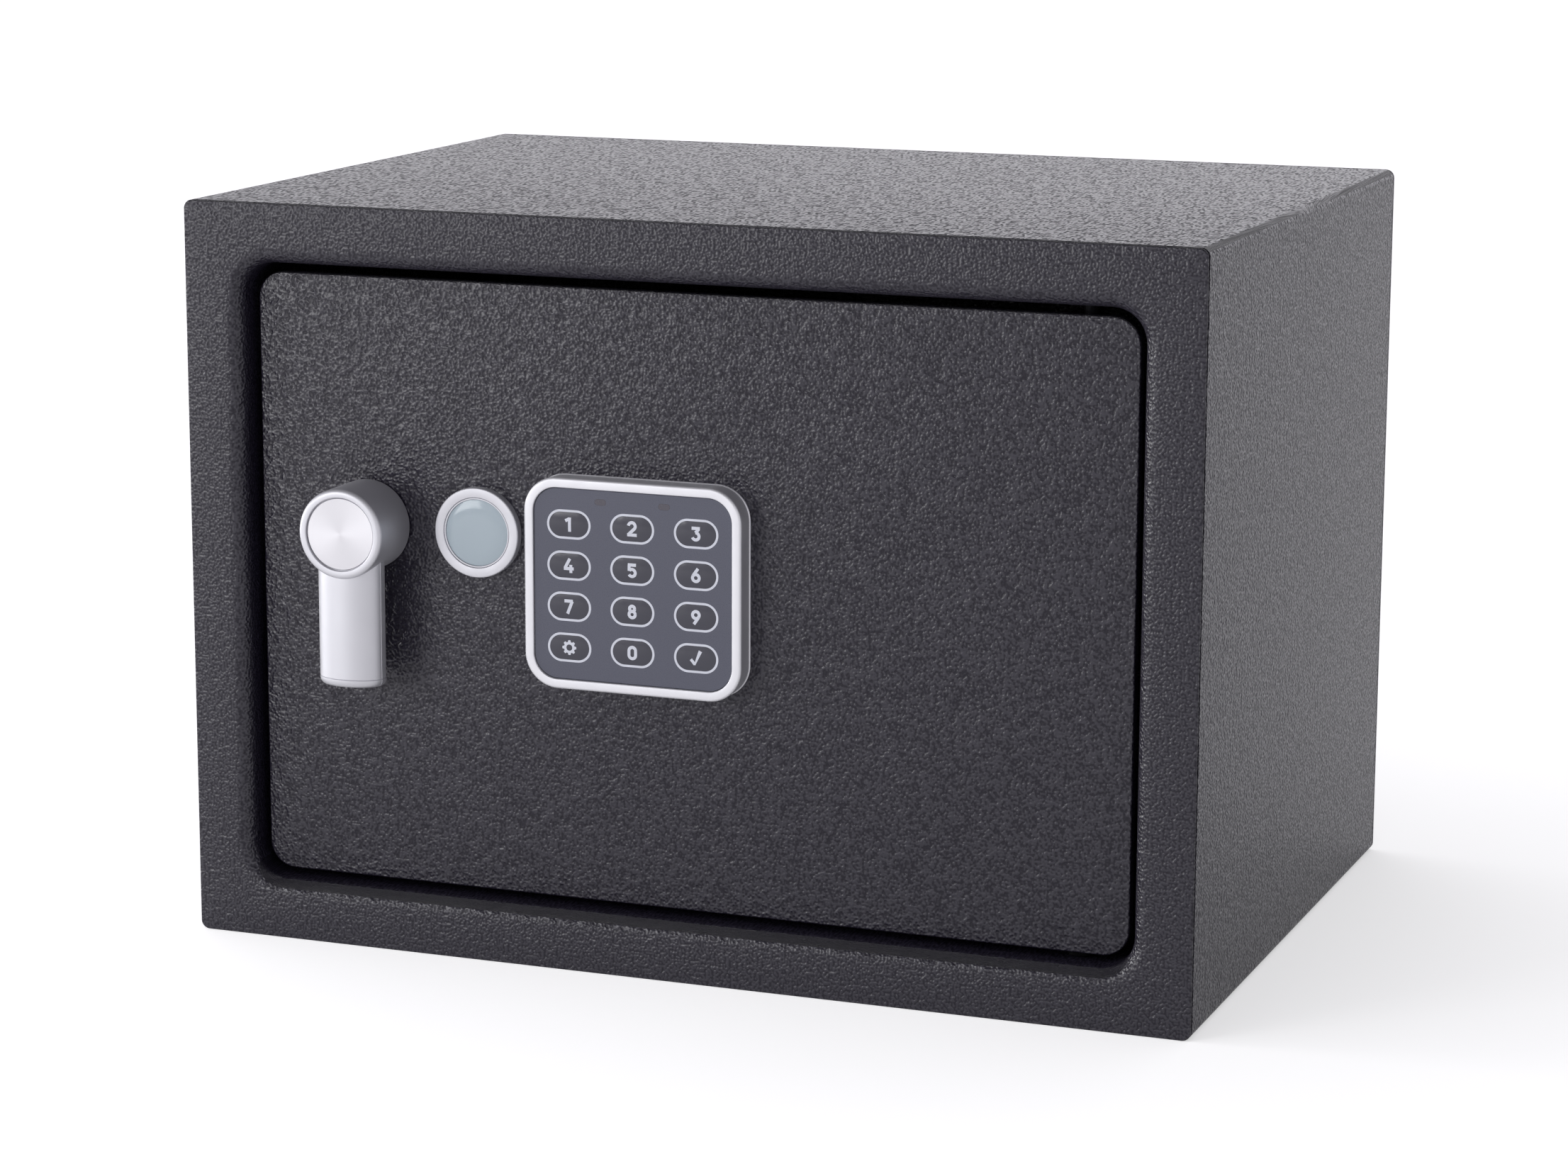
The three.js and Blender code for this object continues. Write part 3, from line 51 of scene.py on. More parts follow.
body_of = {node: body for body, members in frame["record"]["behaviour"]["bodies"].items() for node in members}
MM = 0.001


# Measuring

def span(node):
    """Lowest and highest corner of a CAD node, in millimetres."""
    low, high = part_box(node)
    return np.array(low) / MM, np.array(high) / MM


def middle(node):
    """Middle of a CAD node's box, in millimetres."""
    low, high = span(node)
    return (low + high) / 2


def linear(colour):
    """Linear RGBA of an sRGB hex colour."""
    levels = np.array([int(colour[i:i + 2], 16) for i in (1, 3, 5)]) / 255
    levels = np.where(levels <= 0.04045, levels / 12.92, ((levels + 0.055) / 1.055) ** 2.4)
    return (*levels.tolist(), 1.0)


def per(width):
    """Texture scale at which one cell of a noise is so many millimetres wide."""
    return 1 / (width * MM)


# Building a material

def feed(node, feeds):
    """Links a node's sockets to their sources: an output, or a node whose first output is meant."""
    for socket, source in feeds.items():
        output = source.outputs[0] if isinstance(source, bpy.types.Node) else source
        node.id_data.links.new(output, node.inputs[socket])


def add(tree, kind, values=None, feeds=None, **options):
    """Shader node of one kind, with its options, its sockets' values and what feeds its sockets."""
    node = tree.nodes.new("ShaderNode" + kind)
    for name, option in options.items():
        setattr(node, name, option)
    for socket, value in (values or {}).items():
        node.inputs[socket].default_value = value
    feed(node, feeds or {})
    return node


def finish(name, colour, roughness, metallic=0.0, **sockets):
    """New material: its tree, its shader with the sockets set, and the Object coordinates."""
    material = bpy.data.materials.new(name)
    material.use_nodes = True
    tree = material.node_tree
    shader = tree.nodes["Principled BSDF"]
    shader.inputs["Base Color"].default_value = linear(colour)
    shader.inputs["Roughness"].default_value = roughness
    shader.inputs["Metallic"].default_value = metallic
    for socket, value in sockets.items():
        shader.inputs[socket.replace("_", " ")].default_value = value
    material.diffuse_color = linear(colour)
    place = add(tree, "TexCoord").outputs["Object"]
    return material, tree, shader, place


# Finishes. A noise seldom leaves the values from 0.3 to 0.7, so those are its ends.

NOISE_ENDS = {"From Min": 0.3, "From Max": 0.7}
# A Mix node's colour sockets go by number, because its sockets for numbers have the same names
MIX_LOW, MIX_HIGH, MIX_COLOUR = 6, 7, 2
# Powder coat: half the pitch of its bumps and the size of its ridges in millimetres, the ridges' share of
# the height, and how much longer the pattern is from front to back on a level face, as a scale
BUMP_CELL = 0.88
RIDGE_CELL = 2.4
RIDGE_SHARE = 0.8
LEVEL_FLECK_STRETCH = 0.36
PIT_ROUGHNESS = 0.38
CROWN_ROUGHNESS = 0.28
CROWN_GLOSS = (0.62, 0.8)
SATIN_METALLIC = 0.72


def powder_coat(name, colour, pit_shade_colour, grain_depth, pit_gloss, clumping):
    """Polyester powder coat, sprayed and cured to a leathery grain: smooth round bumps 1.8 mm apart that
    run together into short ridges. The pits between are painted darker, as painted shade, and their
    reflection is turned down, as painted shade at a low angle, the more so on a level face, where the
    pattern is also drawn longer from front to back to stretch those flecks of painted shade. pit_gloss and
    the gloss of the crowns are for upright and for level faces, the crowns' higher gloss on a level face
    being painted sheen, and clumping is how far the pits gather between the ridges."""
    material, tree, shader, place = finish(name, colour, 0.3)
    # On a level face the pattern is drawn longer from front to back, to stretch its flecks of painted shade
    level = add(tree, "SeparateXYZ", feeds={"Vector": place.node.outputs["Normal"]}).outputs["Z"]
    run = add(tree, "MapRange", {"From Min": 0.5, "From Max": 0.95, "To Min": 1.0, "To Max": LEVEL_FLECK_STRETCH},
              {"Value": level})
    stretch = add(tree, "CombineXYZ", {"X": 1.0, "Z": 1.0}, {"Y": run})
    spread = add(tree, "VectorMath", feeds={0: place, 1: stretch}, operation="MULTIPLY")
    bumps = add(tree, "TexNoise", {"Scale": per(BUMP_CELL), "Detail": 0.0}, {"Vector": spread})
    ridges = add(tree, "TexNoise", {"Scale": per(RIDGE_CELL), "Detail": 0.0}, {"Vector": spread})
    swell = add(tree, "Math", {1: RIDGE_SHARE}, {0: ridges, 2: bumps}, operation="MULTIPLY_ADD")
    relief = add(tree, "Bump", {"Distance": grain_depth * MM}, {"Height": swell})
    # Base colour painted darker in the pits between the bumps: painted shade
    raised = add(tree, "MapRange", NOISE_ENDS, {"Value": bumps})
    shade = add(tree, "Mix", {MIX_LOW: linear(pit_shade_colour), MIX_HIGH: linear(colour)}, {0: raised},
                data_type="RGBA")
    blur = add(tree, "MapRange", {**NOISE_ENDS, "To Min": PIT_ROUGHNESS, "To Max": CROWN_ROUGHNESS},
               {"Value": bumps})
    # Reflection strength, set apart for upright and level faces: turned down in the pits as painted shade,
    # raised on level crowns as painted sheen
    least = add(tree, "MapRange", {"To Min": pit_gloss[0], "To Max": pit_gloss[1]}, {"Value": level})
    most = add(tree, "MapRange", {"To Min": CROWN_GLOSS[0], "To Max": CROWN_GLOSS[1]}, {"Value": level})
    # The flecks' ends lie about the noises' middle, which the ridges move by half of their share
    flecks = add(tree, "Math", {1: clumping}, {0: ridges, 2: bumps}, operation="MULTIPLY_ADD")
    gloss = add(tree, "MapRange", {"From Min": 0.4 + 0.5 * clumping, "From Max": 0.52 + 0.54 * clumping},
                {"Value": flecks, "To Min": least, "To Max": most})
    feed(shader, {"Base Color": shade.outputs[MIX_COLOUR], "Roughness": blur, "Specular IOR Level": gloss,
                  "Normal": relief})
    return material


def satin_metal(name, colour, roughness, grain=0.12, depth=0.004):
    """Metal that is bead-blasted and plated: an even satin with a very fine sparkle. The grain is drawn a
    little coarser than the real one, which is too fine to show."""
    material, tree, shader, place = finish(name, colour, roughness, SATIN_METALLIC)
    grit = add(tree, "TexNoise", {"Scale": per(grain), "Detail": 2.0, "Roughness": 0.6}, {"Vector": place})
    cloud = add(tree, "TexNoise", {"Scale": per(9), "Detail": 2.0}, {"Vector": place})
    relief = add(tree, "Bump", {"Distance": depth * MM}, {"Height": grit})
    blur = add(tree, "MapRange", {**NOISE_ENDS, "To Min": roughness - 0.04, "To Max": roughness + 0.04},
               {"Value": cloud})
    feed(shader, {"Roughness": blur, "Normal": relief})
    return material


def spun_metal(name, colour, roughness, anisotropy, axis, pitch):
    """Turned or spun metal: fine rings around the axis, which draw the light into bright sectors."""
    material, tree, shader, place = finish(name, colour, roughness, 1.0, Anisotropic=anisotropy)
    around = add(tree, "Tangent", direction_type="RADIAL", axis=axis)
    grit = add(tree, "TexNoise", {"Scale": per(pitch), "Detail": 2.0}, {"Vector": place})
    relief = add(tree, "Bump", {"Distance": 0.0015 * MM}, {"Height": grit})
    feed(shader, {"Tangent": around, "Normal": relief})
    return material


def moulded_plastic(name, colour, roughness, grain=0.5, depth=0.02):
    """Injection-moulded plastic with a spark-eroded grain from its tool."""
    material, tree, shader, place = finish(name, colour, roughness)
    grit = add(tree, "TexNoise", {"Scale": per(grain), "Detail": 2.0, "Roughness": 0.55},
               {"Vector": place})
    relief = add(tree, "Bump", {"Distance": depth * MM}, {"Height": grit})
    blur = add(tree, "MapRange", {**NOISE_ENDS, "To Min": roughness - 0.06, "To Max": roughness + 0.06},
               {"Value": grit})
    feed(shader, {"Roughness": blur, "Normal": relief})
    return material


def plated_steel(name, low, high, roughness):
    """Plated steel, or steel coloured dark: a faint crystal cloudiness and small handling marks."""
    material, tree, shader, place = finish(name, high, roughness, 1.0)
    cloud = add(tree, "TexNoise", {"Scale": per(3), "Detail": 4.0, "Roughness": 0.6}, {"Vector": place})
    bright = add(tree, "MapRange", NOISE_ENDS, {"Value": cloud})
    shade = add(tree, "Mix", {MIX_LOW: linear(low), MIX_HIGH: linear(high)}, {0: bright}, data_type="RGBA")
    blur = add(tree, "MapRange", {**NOISE_ENDS, "To Min": roughness + 0.1, "To Max": roughness - 0.05},
               {"Value": cloud})
    relief = add(tree, "Bump", {"Distance": 0.01 * MM}, {"Height": cloud})
    feed(shader, {"Base Color": shade.outputs[MIX_COLOUR], "Roughness": blur, "Normal": relief})
    return material


def needle_felt(name, low, high):
    """Needled polyester felt: matt, a tangle of 0.6 mm fibres with lighter ends, and tufts 4 mm wide."""
    material, tree, shader, place = finish(name, high, 0.95, Sheen_Weight=0.35, Sheen_Roughness=0.5)
    combed = add(tree, "Mapping", {"Scale": (1.0, 0.35, 1.0), "Rotation": (0.0, 0.0, 0.6)},
                 {"Vector": place})
    fibres = add(tree, "TexNoise",
                 {"Scale": per(0.6), "Detail": 5.0, "Roughness": 0.7, "Distortion": 1.5}, {"Vector": combed})
    tufts = add(tree, "TexNoise", {"Scale": per(4), "Detail": 3.0}, {"Vector": place})
    ends = add(tree, "MapRange", {"From Min": 0.35, "From Max": 0.65}, {"Value": fibres})
    shade = add(tree, "Mix", {MIX_LOW: linear(low), MIX_HIGH: linear(high)}, {0: ends}, data_type="RGBA")
    fuzz = add(tree, "Bump", {"Distance": 0.5 * MM}, {"Height": fibres})
    relief = add(tree, "Bump", {"Distance": 0.5 * MM}, {"Height": tufts, "Normal": fuzz})
    feed(shader, {"Base Color": shade.outputs[MIX_COLOUR], "Normal": relief})
    return material


# Satin charcoal coat with a violet cast: the crown of each bump carries a small soft glint, and the pits are
# painted darker as painted shade
paint = powder_coat("textured_powder_coat", "#25222f", "#1b1823", 0.36, (0.36, 0.36), 0.0)
# The tube's coat with a deeper grain: at a low angle it looks pale, with painted sheen on the crowns of its
# level top, peppered with dark pits of painted shade
tube_paint = powder_coat("tube_powder_coat_painted_pit_shade", "#272431", "#1b1823", 0.6, (0.18, 0.02), 0.6)
# Zinc die casting, blasted and nickel-plated: soft broad highlights, no mirror image
casting = satin_metal("satin_nickel_casting", "#d1d1d6", 0.5)
# Plated moulding: the same satin, a little whiter
bezel_plate = satin_metal("satin_chrome_moulding", "#e0e0e4", 0.5, 0.15, 0.003)
# Spun aluminium: rings too fine to see, which fan the light out from the middle
disc_metal = spun_metal("spun_aluminium", "#cccbcf", 0.38, 0.35, "Y", 0.2)
# Bright steel bar, turned: a sharper streak along its length
bolt_metal = spun_metal("turned_bright_steel", "#b9babd", 0.26, 0.5, "X", 0.3)
# Zinc plate on pressed steel: bright, slightly cloudy
zinc = plated_steel("bright_zinc_plate", "#989ca2", "#c2c6cb", 0.32)
# Steel of the hinge pins, coloured nearly black as painted shade so they stay dark in the gap, with a dull
# shine
black_steel = plated_steel("hinge_pin_steel_painted_shade", "#0b0b0c", "#161618", 0.5)
# Turned brass: warm yellow satin
brass = satin_metal("turned_brass", "#c9a24c", 0.28, 0.2, 0.003)
# Black ABS, moulded in a spark-eroded tool: even matt grain
abs_black = moulded_plastic("black_moulded_abs", "#1d1d20", 0.55)
# The same from a finer tool: a little smoother and darker
tray_black = moulded_plastic("black_moulded_tray", "#17171a", 0.5, 0.4, 0.012)
# Red moulded button: smooth and fairly glossy
red_plastic = moulded_plastic("red_moulded_button", "#b3231c", 0.35, 0.6, 0.005)
# Silicone rubber: pale grey and matt
silicone = moulded_plastic("grey_silicone_mat", "#8d9095", 0.6, 0.8, 0.01)
# Extruded sheath of a flat cable: half matt
ribbon = moulded_plastic("grey_ribbon_sheath", "#9a9ca0", 0.5, 0.5, 0.01)
# Solder mask on a glass-fibre board: glossy green
board_green = moulded_plastic("solder_masked_board", "#1e5a35", 0.3, 0.7, 0.01)
# Printed polyester film: flat slate grey with a smooth sheen
overlay = moulded_plastic("printed_overlay_film", "#565866", 0.3, 0.25, 0.0015)
# Embossed film over a key: darker and glossier, so its dome catches the light
key_film = moulded_plastic("domed_key_film", "#43434d", 0.16, 0.3, 0.0008)
# Screen-printed ink: pale and matt
ink = moulded_plastic("pale_screen_ink", "#dcdfe9", 0.45, 0.4, 0.001)
# Smoked window film: hardly darker than the panel
lens_film = moulded_plastic("smoked_window_film", "#54515a", 0.25, 0.5, 0.001)
# Needled polyester felt: dark grey, no shine
felt = needle_felt("needled_grey_felt", "#26262a", "#4a4a50")
# Poured polyurethane resin on a pale backing: glassy, blue-grey
resin = moulded_plastic("domed_clear_resin", "#b3c1c9", 0.12, 3.0, 0.003)
# Printed shrink sleeve of a cell: smooth black, and its copper-coloured band
sleeve = moulded_plastic("printed_cell_sleeve", "#222226", 0.25, 1.0, 0.003)
copper = moulded_plastic("printed_copper_band", "#b06a3c", 0.25, 1.0, 0.003)


# Shapes: shells of points and faces, worked out as whole arrays. A pole is a ring this small, so it closes.

POLE = 0.02


def arc(centre_u, centre_v, radius, start, end, steps=6):
    """Points on a circle's arc between two angles in degrees: centre plus radius times cosine and sine."""
    angle = np.radians(np.linspace(start, end, steps + 1))
    return np.stack([centre_u + radius * np.cos(angle), centre_v + radius * np.sin(angle)], -1)


def outline(half_x, half_z, radius, steps=10):
    """Rectangle with round corners: a quarter circle about each corner's centre, joined by straight
    sides. The sizes may be arrays, and then there is one outline for each."""
    half_x, half_z, radius = (np.asarray(size, float)[..., None] for size in (half_x, half_z, radius))
    quarter = np.arange(4)[:, None] * np.pi / 2
    angle = (quarter + np.linspace(0, np.pi / 2, steps + 1)).ravel()
    side_x = np.repeat([1, -1, -1, 1], steps + 1)
    side_z = np.repeat([1, 1, -1, -1], steps + 1)
    x = side_x * (half_x - radius) + radius * np.cos(angle)
    z = side_z * (half_z - radius) + radius * np.sin(angle)
    return np.stack([x, z], -1)


def carried(profile, half_x, half_z, radius, centre, steps=10):
    """Rings of a profile of [inset, depth] carried round an outline: each ring is the outline drawn in by
    its inset, at its depth along Y."""
    inset, depth = np.asarray(profile, float).T
    corner = np.maximum(radius - inset, POLE)
    flat = outline(np.maximum(half_x - inset, POLE), np.maximum(half_z - inset, POLE), corner, steps)
    y = np.broadcast_to(depth[:, None], flat.shape[:2])
    return np.stack([flat[..., 0] + centre[0], y, flat[..., 1] + centre[1]], -1)


def skin(rings, endless=False):
    """Shell over rings[station, place]: points, quads and caps. Quads join each point to the next on its
    ring and to the next ring. The last ring joins the first if endless, and else a flat cap closes each
    end."""
    stations, places = rings.shape[:2]
    grid = np.arange(stations * places).reshape(stations, places)
    if endless:
        grid = np.vstack([grid, grid[:1]])
    near, far = grid[:-1], grid[1:]
    quads = np.stack([near, np.roll(near, -1, 1), np.roll(far, -1, 1), far], -1).reshape(-1, 4)
    caps = [] if endless else [grid[0][::-1], grid[-1]]
    return rings.reshape(-1, 3), quads, caps


def turned(profile, axis, centre, sides=64, endless=False):
    """Shell of a profile of [radius, place along the axis] turned about an axis through a centre."""
    radius, along = np.asarray(profile, float).T
    radius = np.maximum(radius, POLE)[:, None]
    angle = np.linspace(0, 2 * np.pi, sides, endpoint=False)
    u, v = radius * np.cos(angle), radius * np.sin(angle)
    w = np.broadcast_to(along[:, None], u.shape)
    order = {"x": (w, u, v), "y": (u, w, v), "z": (u, v, w)}[axis]
    offset = np.insert(np.array(centre, float), "xyz".index(axis), 0)
    return skin(np.stack(order, -1) + offset, endless)


def drill(radius, start, end, axis, centre, sides):
    """Closed shell of a round rod that cuts a hole, between two places along an axis."""
    return turned([(0, start), (radius, start), (radius, end), (0, end)], axis, centre, sides)


def block(low, high):
    """Shell of a box between two corners."""
    (x0, y0, z0), (x1, y1, z1) = low, high
    ring = [[x0, z0], [x1, z0], [x1, z1], [x0, z1]]
    return skin(np.array([[[x, y, z] for x, z in ring] for y in (y0, y1)], float))


def smooth(piece, sharp):
    """Smooth shading with hard edges where two faces meet at more than so many degrees."""
    mesh = piece.data
    mesh.polygons.foreach_set("use_smooth", np.ones(len(mesh.polygons), bool))
    mesh.set_sharp_from_angle(angle=math.radians(sharp))


def settle(piece):
    """Applies a piece's modifiers to its mesh."""
    bpy.context.view_layer.update()
    done = bpy.data.meshes.new_from_object(piece.evaluated_get(bpy.context.evaluated_depsgraph_get()))
    piece.modifiers.clear()
    piece.data = done


def make(name, shells, body, stands_for=(), sharp=32):
    """Piece from closed shells with a material each: (shell, material) pairs in millimetres. It rides on a
    body and may stand for CAD nodes."""
    mesh = bpy.data.meshes.new(name)
    points, faces, finishes, materials, start = [], [], [], [], 0
    for (verts, quads, caps), material in shells:
        if material not in materials:
            materials.append(material)
        points.append(verts)
        faces += (quads + start).tolist() + [(cap + start).tolist() for cap in caps]
        finishes += [materials.index(material)] * (len(quads) + len(caps))
        start += len(verts)
    mesh.from_pydata(np.concatenate(points) * MM, [], faces)
    for material in materials:
        mesh.materials.append(material)
    mesh.polygons.foreach_set("material_index", finishes)
    clean = bmesh.new()
    clean.from_mesh(mesh)
    bmesh.ops.recalc_face_normals(clean, faces=clean.faces)
    clean.to_mesh(mesh)
    clean.free()
    piece = bpy.data.objects.new(name, mesh)
    bpy.context.scene.collection.objects.link(piece)
    smooth(piece, sharp)
    if body is not None:
        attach(piece, body)
    if stands_for:
        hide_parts(*stands_for)
    return piece


def cut_out(piece, shells, sharp=32):
    """Piece with closed shells cut out of it. The cut is worked out once and kept as its mesh."""
    tool = make("cutter", [(shell, None) for shell in shells], None)
    cut = piece.modifiers.new("cut", "BOOLEAN")
    cut.operation = "DIFFERENCE"
    cut.solver = "EXACT"
    cut.object = tool
    settle(piece)
    bpy.data.objects.remove(tool)
    smooth(piece, sharp)
    return piece


def softened(node, material, width, sharp=40):
    """Piece from a CAD node: its triangles merged, its flat areas joined, and its edges rounded. The
    bevel's normals keep the flat areas flat."""
    mesh = nodes[node].data.copy()
    if "custom_normal" in mesh.attributes:
        mesh.attributes.remove(mesh.attributes["custom_normal"])
    clean = bmesh.new()
    clean.from_mesh(mesh)
    bmesh.ops.remove_doubles(clean, verts=clean.verts, dist=2e-6)
    bmesh.ops.dissolve_limit(clean, angle_limit=math.radians(0.6), verts=clean.verts, edges=clean.edges)
    clean.to_mesh(mesh)
    clean.free()
    mesh.materials.clear()
    mesh.materials.append(material)
    piece = bpy.data.objects.new(node + "_soft", mesh)
    bpy.context.scene.collection.objects.link(piece)
    round_off = piece.modifiers.new("edges", "BEVEL")
    round_off.width = width * MM
    round_off.segments = 2
    round_off.limit_method = "ANGLE"
    round_off.angle_limit = math.radians(sharp)
    round_off.use_clamp_overlap = True
    round_off.harden_normals = True
    smooth(piece, sharp)
    settle(piece)
    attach(piece, body_of[node])
    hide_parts(node)
    return piece


# Body: tube of sheet with its floor fixings

SHEET = 2.0
EDGE_RADIUS = 3.0
SEAM = 0.3
FIXING_RADIUS = 5.0
FIXING_X = 95.0
FLOOR_FIXING_Y = 30.0
BACK_FIXING_Z = 165.0
body_low, body_high = span("body_shell")
frame_low, frame_high = span("front_frame")
back_low, back_high = span("back_panel")
HALF_X = body_high[0]
HALF_Z = body_high[2] / 2
BODY_CENTRE = (0.0, HALF_Z)
FRONT_Y = frame_low[1]
FLANGE_BACK_Y = frame_high[1]


def body_rings(profile):
    """Rings of a profile of [inset, depth] carried round the body's outline."""
    return carried(profile, HALF_X, HALF_Z, EDGE_RADIUS, BODY_CENTRE)


tube_start, tube_end = body_low[1], body_high[1]
tube = make("painted_tube", [(skin(body_rings([
    (SHEET, tube_start), (0.1, tube_start), (0, tube_start + 0.1),
    (0, tube_end - SEAM), (0.08, tube_end - 0.1), (SEAM, tube_end), (SHEET, tube_end),
]), endless=True), tube_paint)], "body", ["body_shell"])
cut_out(tube, [drill(FIXING_RADIUS, -1, SHEET + 1, "z", (side * FIXING_X, FLOOR_FIXING_Y), 40)
               for side in (-1, 1)])


# Front frame: a groove where it meets the tube, a rounded edge, and the lip that rolls into the opening

ROLL_RADIUS = 5.5
OPENING_RADIUS = 11.0
OPENING_HALF = (155.0, 105.0)
GROOVE_DEPTH = 0.45
FRONT_EDGE = 0.6
FLANGE_EDGE = 0.3
PIN_HOLE_RADIUS = 3.3
PIN_HOLE_HEIGHT = 4.0
PIN_HOLES_Z = (17.0, 229.0)


def opening_rings(profile):
    """Rings of a profile of [offset outwards, depth] carried round the opening."""
    inward = np.array(profile, float) * [-1, 1]
    return carried(inward, *OPENING_HALF, OPENING_RADIUS, BODY_CENTRE)


def lip(under, angles):
    """Profile of the rolled lip, so far under its face: a quarter circle about the roll's centre, at
    angles from the front."""
    radius = ROLL_RADIUS - under
    turn = np.radians(angles)
    return np.stack([under + radius * (1 - np.sin(turn)), FRONT_Y + under + radius * (1 - np.cos(turn))], -1)


frame_rings = np.concatenate([
    body_rings([(SHEET, FRONT_Y + SHEET), (1.5, FRONT_Y + SHEET), (GROOVE_DEPTH, FRONT_Y + 0.75),
                (0.1, FRONT_Y + 0.7)]),
    body_rings(arc(FRONT_EDGE, FRONT_Y + FRONT_EDGE, FRONT_EDGE, 180, 270, 5)),
    opening_rings(lip(0, np.linspace(0, 90, 9))),
    opening_rings([(0, FLANGE_BACK_Y - FLANGE_EDGE), (FLANGE_EDGE, FLANGE_BACK_Y),
                   (SHEET - FLANGE_EDGE, FLANGE_BACK_Y), (SHEET, FLANGE_BACK_Y - FLANGE_EDGE)]),
    opening_rings(lip(SHEET, np.linspace(90, 0, 5))),
])
front = make("painted_front_frame", [(skin(frame_rings, endless=True), paint)], "body", ["front_frame"])
hinge_x, hinge_y, _ = middle("hinge_pin_upper")
cut_out(front, [drill(PIN_HOLE_RADIUS, z, z + PIN_HOLE_HEIGHT, "z", (hinge_x, hinge_y), 32)
                for z in PIN_HOLES_Z])


# Back panel with its wall fixings

BACK_EDGE = 0.7
back = make("painted_back", [(skin(body_rings([
    (SEAM, back_low[1]), (0, back_low[1] + SEAM),
    *arc(BACK_EDGE, back_high[1] - BACK_EDGE, BACK_EDGE, 180, 90, 5).tolist(),
])), paint)], "body", ["back_panel"])
cut_out(back, [drill(FIXING_RADIUS, back_low[1] - 1, back_high[1] + 1, "y",
                     (side * FIXING_X, BACK_FIXING_Z), 40) for side in (-1, 1)])


# Door plate, its holes, and the studs welded to its back

door_low, door_high = span("door_plate")
DOOR_SHEET = 4.0
DOOR_EDGE = 0.6
DOOR_RADIUS = 9.0
DOOR_FRONT_Y = door_low[1]
DOOR_BACK_Y = DOOR_FRONT_Y + DOOR_SHEET
DOOR_HALF = ((door_high[0] - door_low[0]) / 2, (door_high[2] - door_low[2]) / 2)
DOOR_CENTRE = (0.0, (door_high[2] + door_low[2]) / 2)
SPINDLE_HOLE = 7.85
LOCK_HOLE = 10.05
CABLE_SLOT_X = (-16.5, -11.5)
knob_x, _, knob_z = middle("knob_disc")
lock_x, _, lock_z = middle("lock_body")
cable_low, cable_high = span("ribbon_cable")
door_edge = arc(DOOR_EDGE, DOOR_FRONT_Y + DOOR_EDGE, DOOR_EDGE, 180, 270, 5)
door_shell = skin(carried([(0.3, DOOR_BACK_Y), (0, DOOR_BACK_Y - 0.3), *door_edge.tolist()],
                          *DOOR_HALF, DOOR_RADIUS, DOOR_CENTRE))
door = make("painted_door_plate", [(door_shell, paint)], "door", ["door_plate"])
before_door, behind_door = -118.0, -111.0
cut_out(door, [
    drill(SPINDLE_HOLE, before_door, behind_door, "y", (knob_x, knob_z), 48),
    drill(LOCK_HOLE, before_door, behind_door, "y", (lock_x, lock_z), 48),
    block((CABLE_SLOT_X[0], before_door, cable_low[2] + 1),
          (CABLE_SLOT_X[1], behind_door, cable_high[2] - 1)),
])

STUD_RADIUS = 4.5
STUD_BORE = 2.3
STUD_BORE_DEPTH = 9.5
GUIDE_STUD_RADIUS = 5.0
GUIDE_PIN_RADIUS = 3.0
GUIDE_STUD_OFFSET = (4.5, -31.25)
GUIDE_SEAT_Y = -104.8
GUIDE_END_Y = -99.5
stud_start, stud_end = DOOR_BACK_Y - 0.05, door_high[1]
screw_x, _, lower_screw_z = middle("cover_screw_lower")
upper_screw_z = middle("cover_screw_upper")[2]
stud_profile = [(0, stud_start), (STUD_RADIUS, stud_start), (STUD_RADIUS, stud_end - 0.4),
                (STUD_RADIUS - 0.4, stud_end), (STUD_BORE, stud_end), (STUD_BORE, stud_end - STUD_BORE_DEPTH),
                (0, stud_end - STUD_BORE_DEPTH)]
studs = [turned(stud_profile, "y", (screw_x, z), 32) for z in (lower_screw_z, upper_screw_z)]
guide_stud = turned([
    (0, stud_start), (GUIDE_STUD_RADIUS, stud_start), (GUIDE_STUD_RADIUS, GUIDE_SEAT_Y),
    (GUIDE_PIN_RADIUS, GUIDE_SEAT_Y), (GUIDE_PIN_RADIUS, GUIDE_END_Y - 0.4),
    (GUIDE_PIN_RADIUS - 0.4, GUIDE_END_Y), (0, GUIDE_END_Y),
], "y", (knob_x + GUIDE_STUD_OFFSET[0], knob_z + GUIDE_STUD_OFFSET[1]), 32)
make("door_studs", [(shell, paint) for shell in [*studs, guide_stud]], "door")


# Knob and lever: one casting with a dished front, and the spun disc in the dish

knob_low, knob_high = span("handle")
KNOB_CENTRE = (knob_x, knob_z)
KNOB_RADIUS = 15.0
KNOB_FRONT_Y = knob_low[1]
KNOB_BACK_Y = knob_high[1]
KNOB_EDGE = 1.5
SMALL_EDGE = 0.3
SOCKET_RADIUS = 6.3
SOCKET_DEPTH = 11.0
DISH_RADIUS = 12.25
DISH_Y = KNOB_FRONT_Y + 1.25
barrel = turned([
    (0, KNOB_BACK_Y - SOCKET_DEPTH), (SOCKET_RADIUS, KNOB_BACK_Y - SOCKET_DEPTH),
    (SOCKET_RADIUS, KNOB_BACK_Y - 0.4), (SOCKET_RADIUS + 0.4, KNOB_BACK_Y),
    (KNOB_RADIUS - SMALL_EDGE, KNOB_BACK_Y),
    *arc(KNOB_RADIUS - SMALL_EDGE, KNOB_BACK_Y - SMALL_EDGE, SMALL_EDGE, 90, 0, 3).tolist(),
    *arc(KNOB_RADIUS - KNOB_EDGE, KNOB_FRONT_Y + KNOB_EDGE, KNOB_EDGE, 0, -78, 9).tolist(),
    (KNOB_RADIUS - KNOB_EDGE - 0.05, KNOB_FRONT_Y),
    *arc(DISH_RADIUS + SMALL_EDGE, KNOB_FRONT_Y + SMALL_EDGE, SMALL_EDGE, -90, -180, 4).tolist(),
    (DISH_RADIUS, DISH_Y), (0, DISH_Y),
], "y", KNOB_CENTRE, 128)

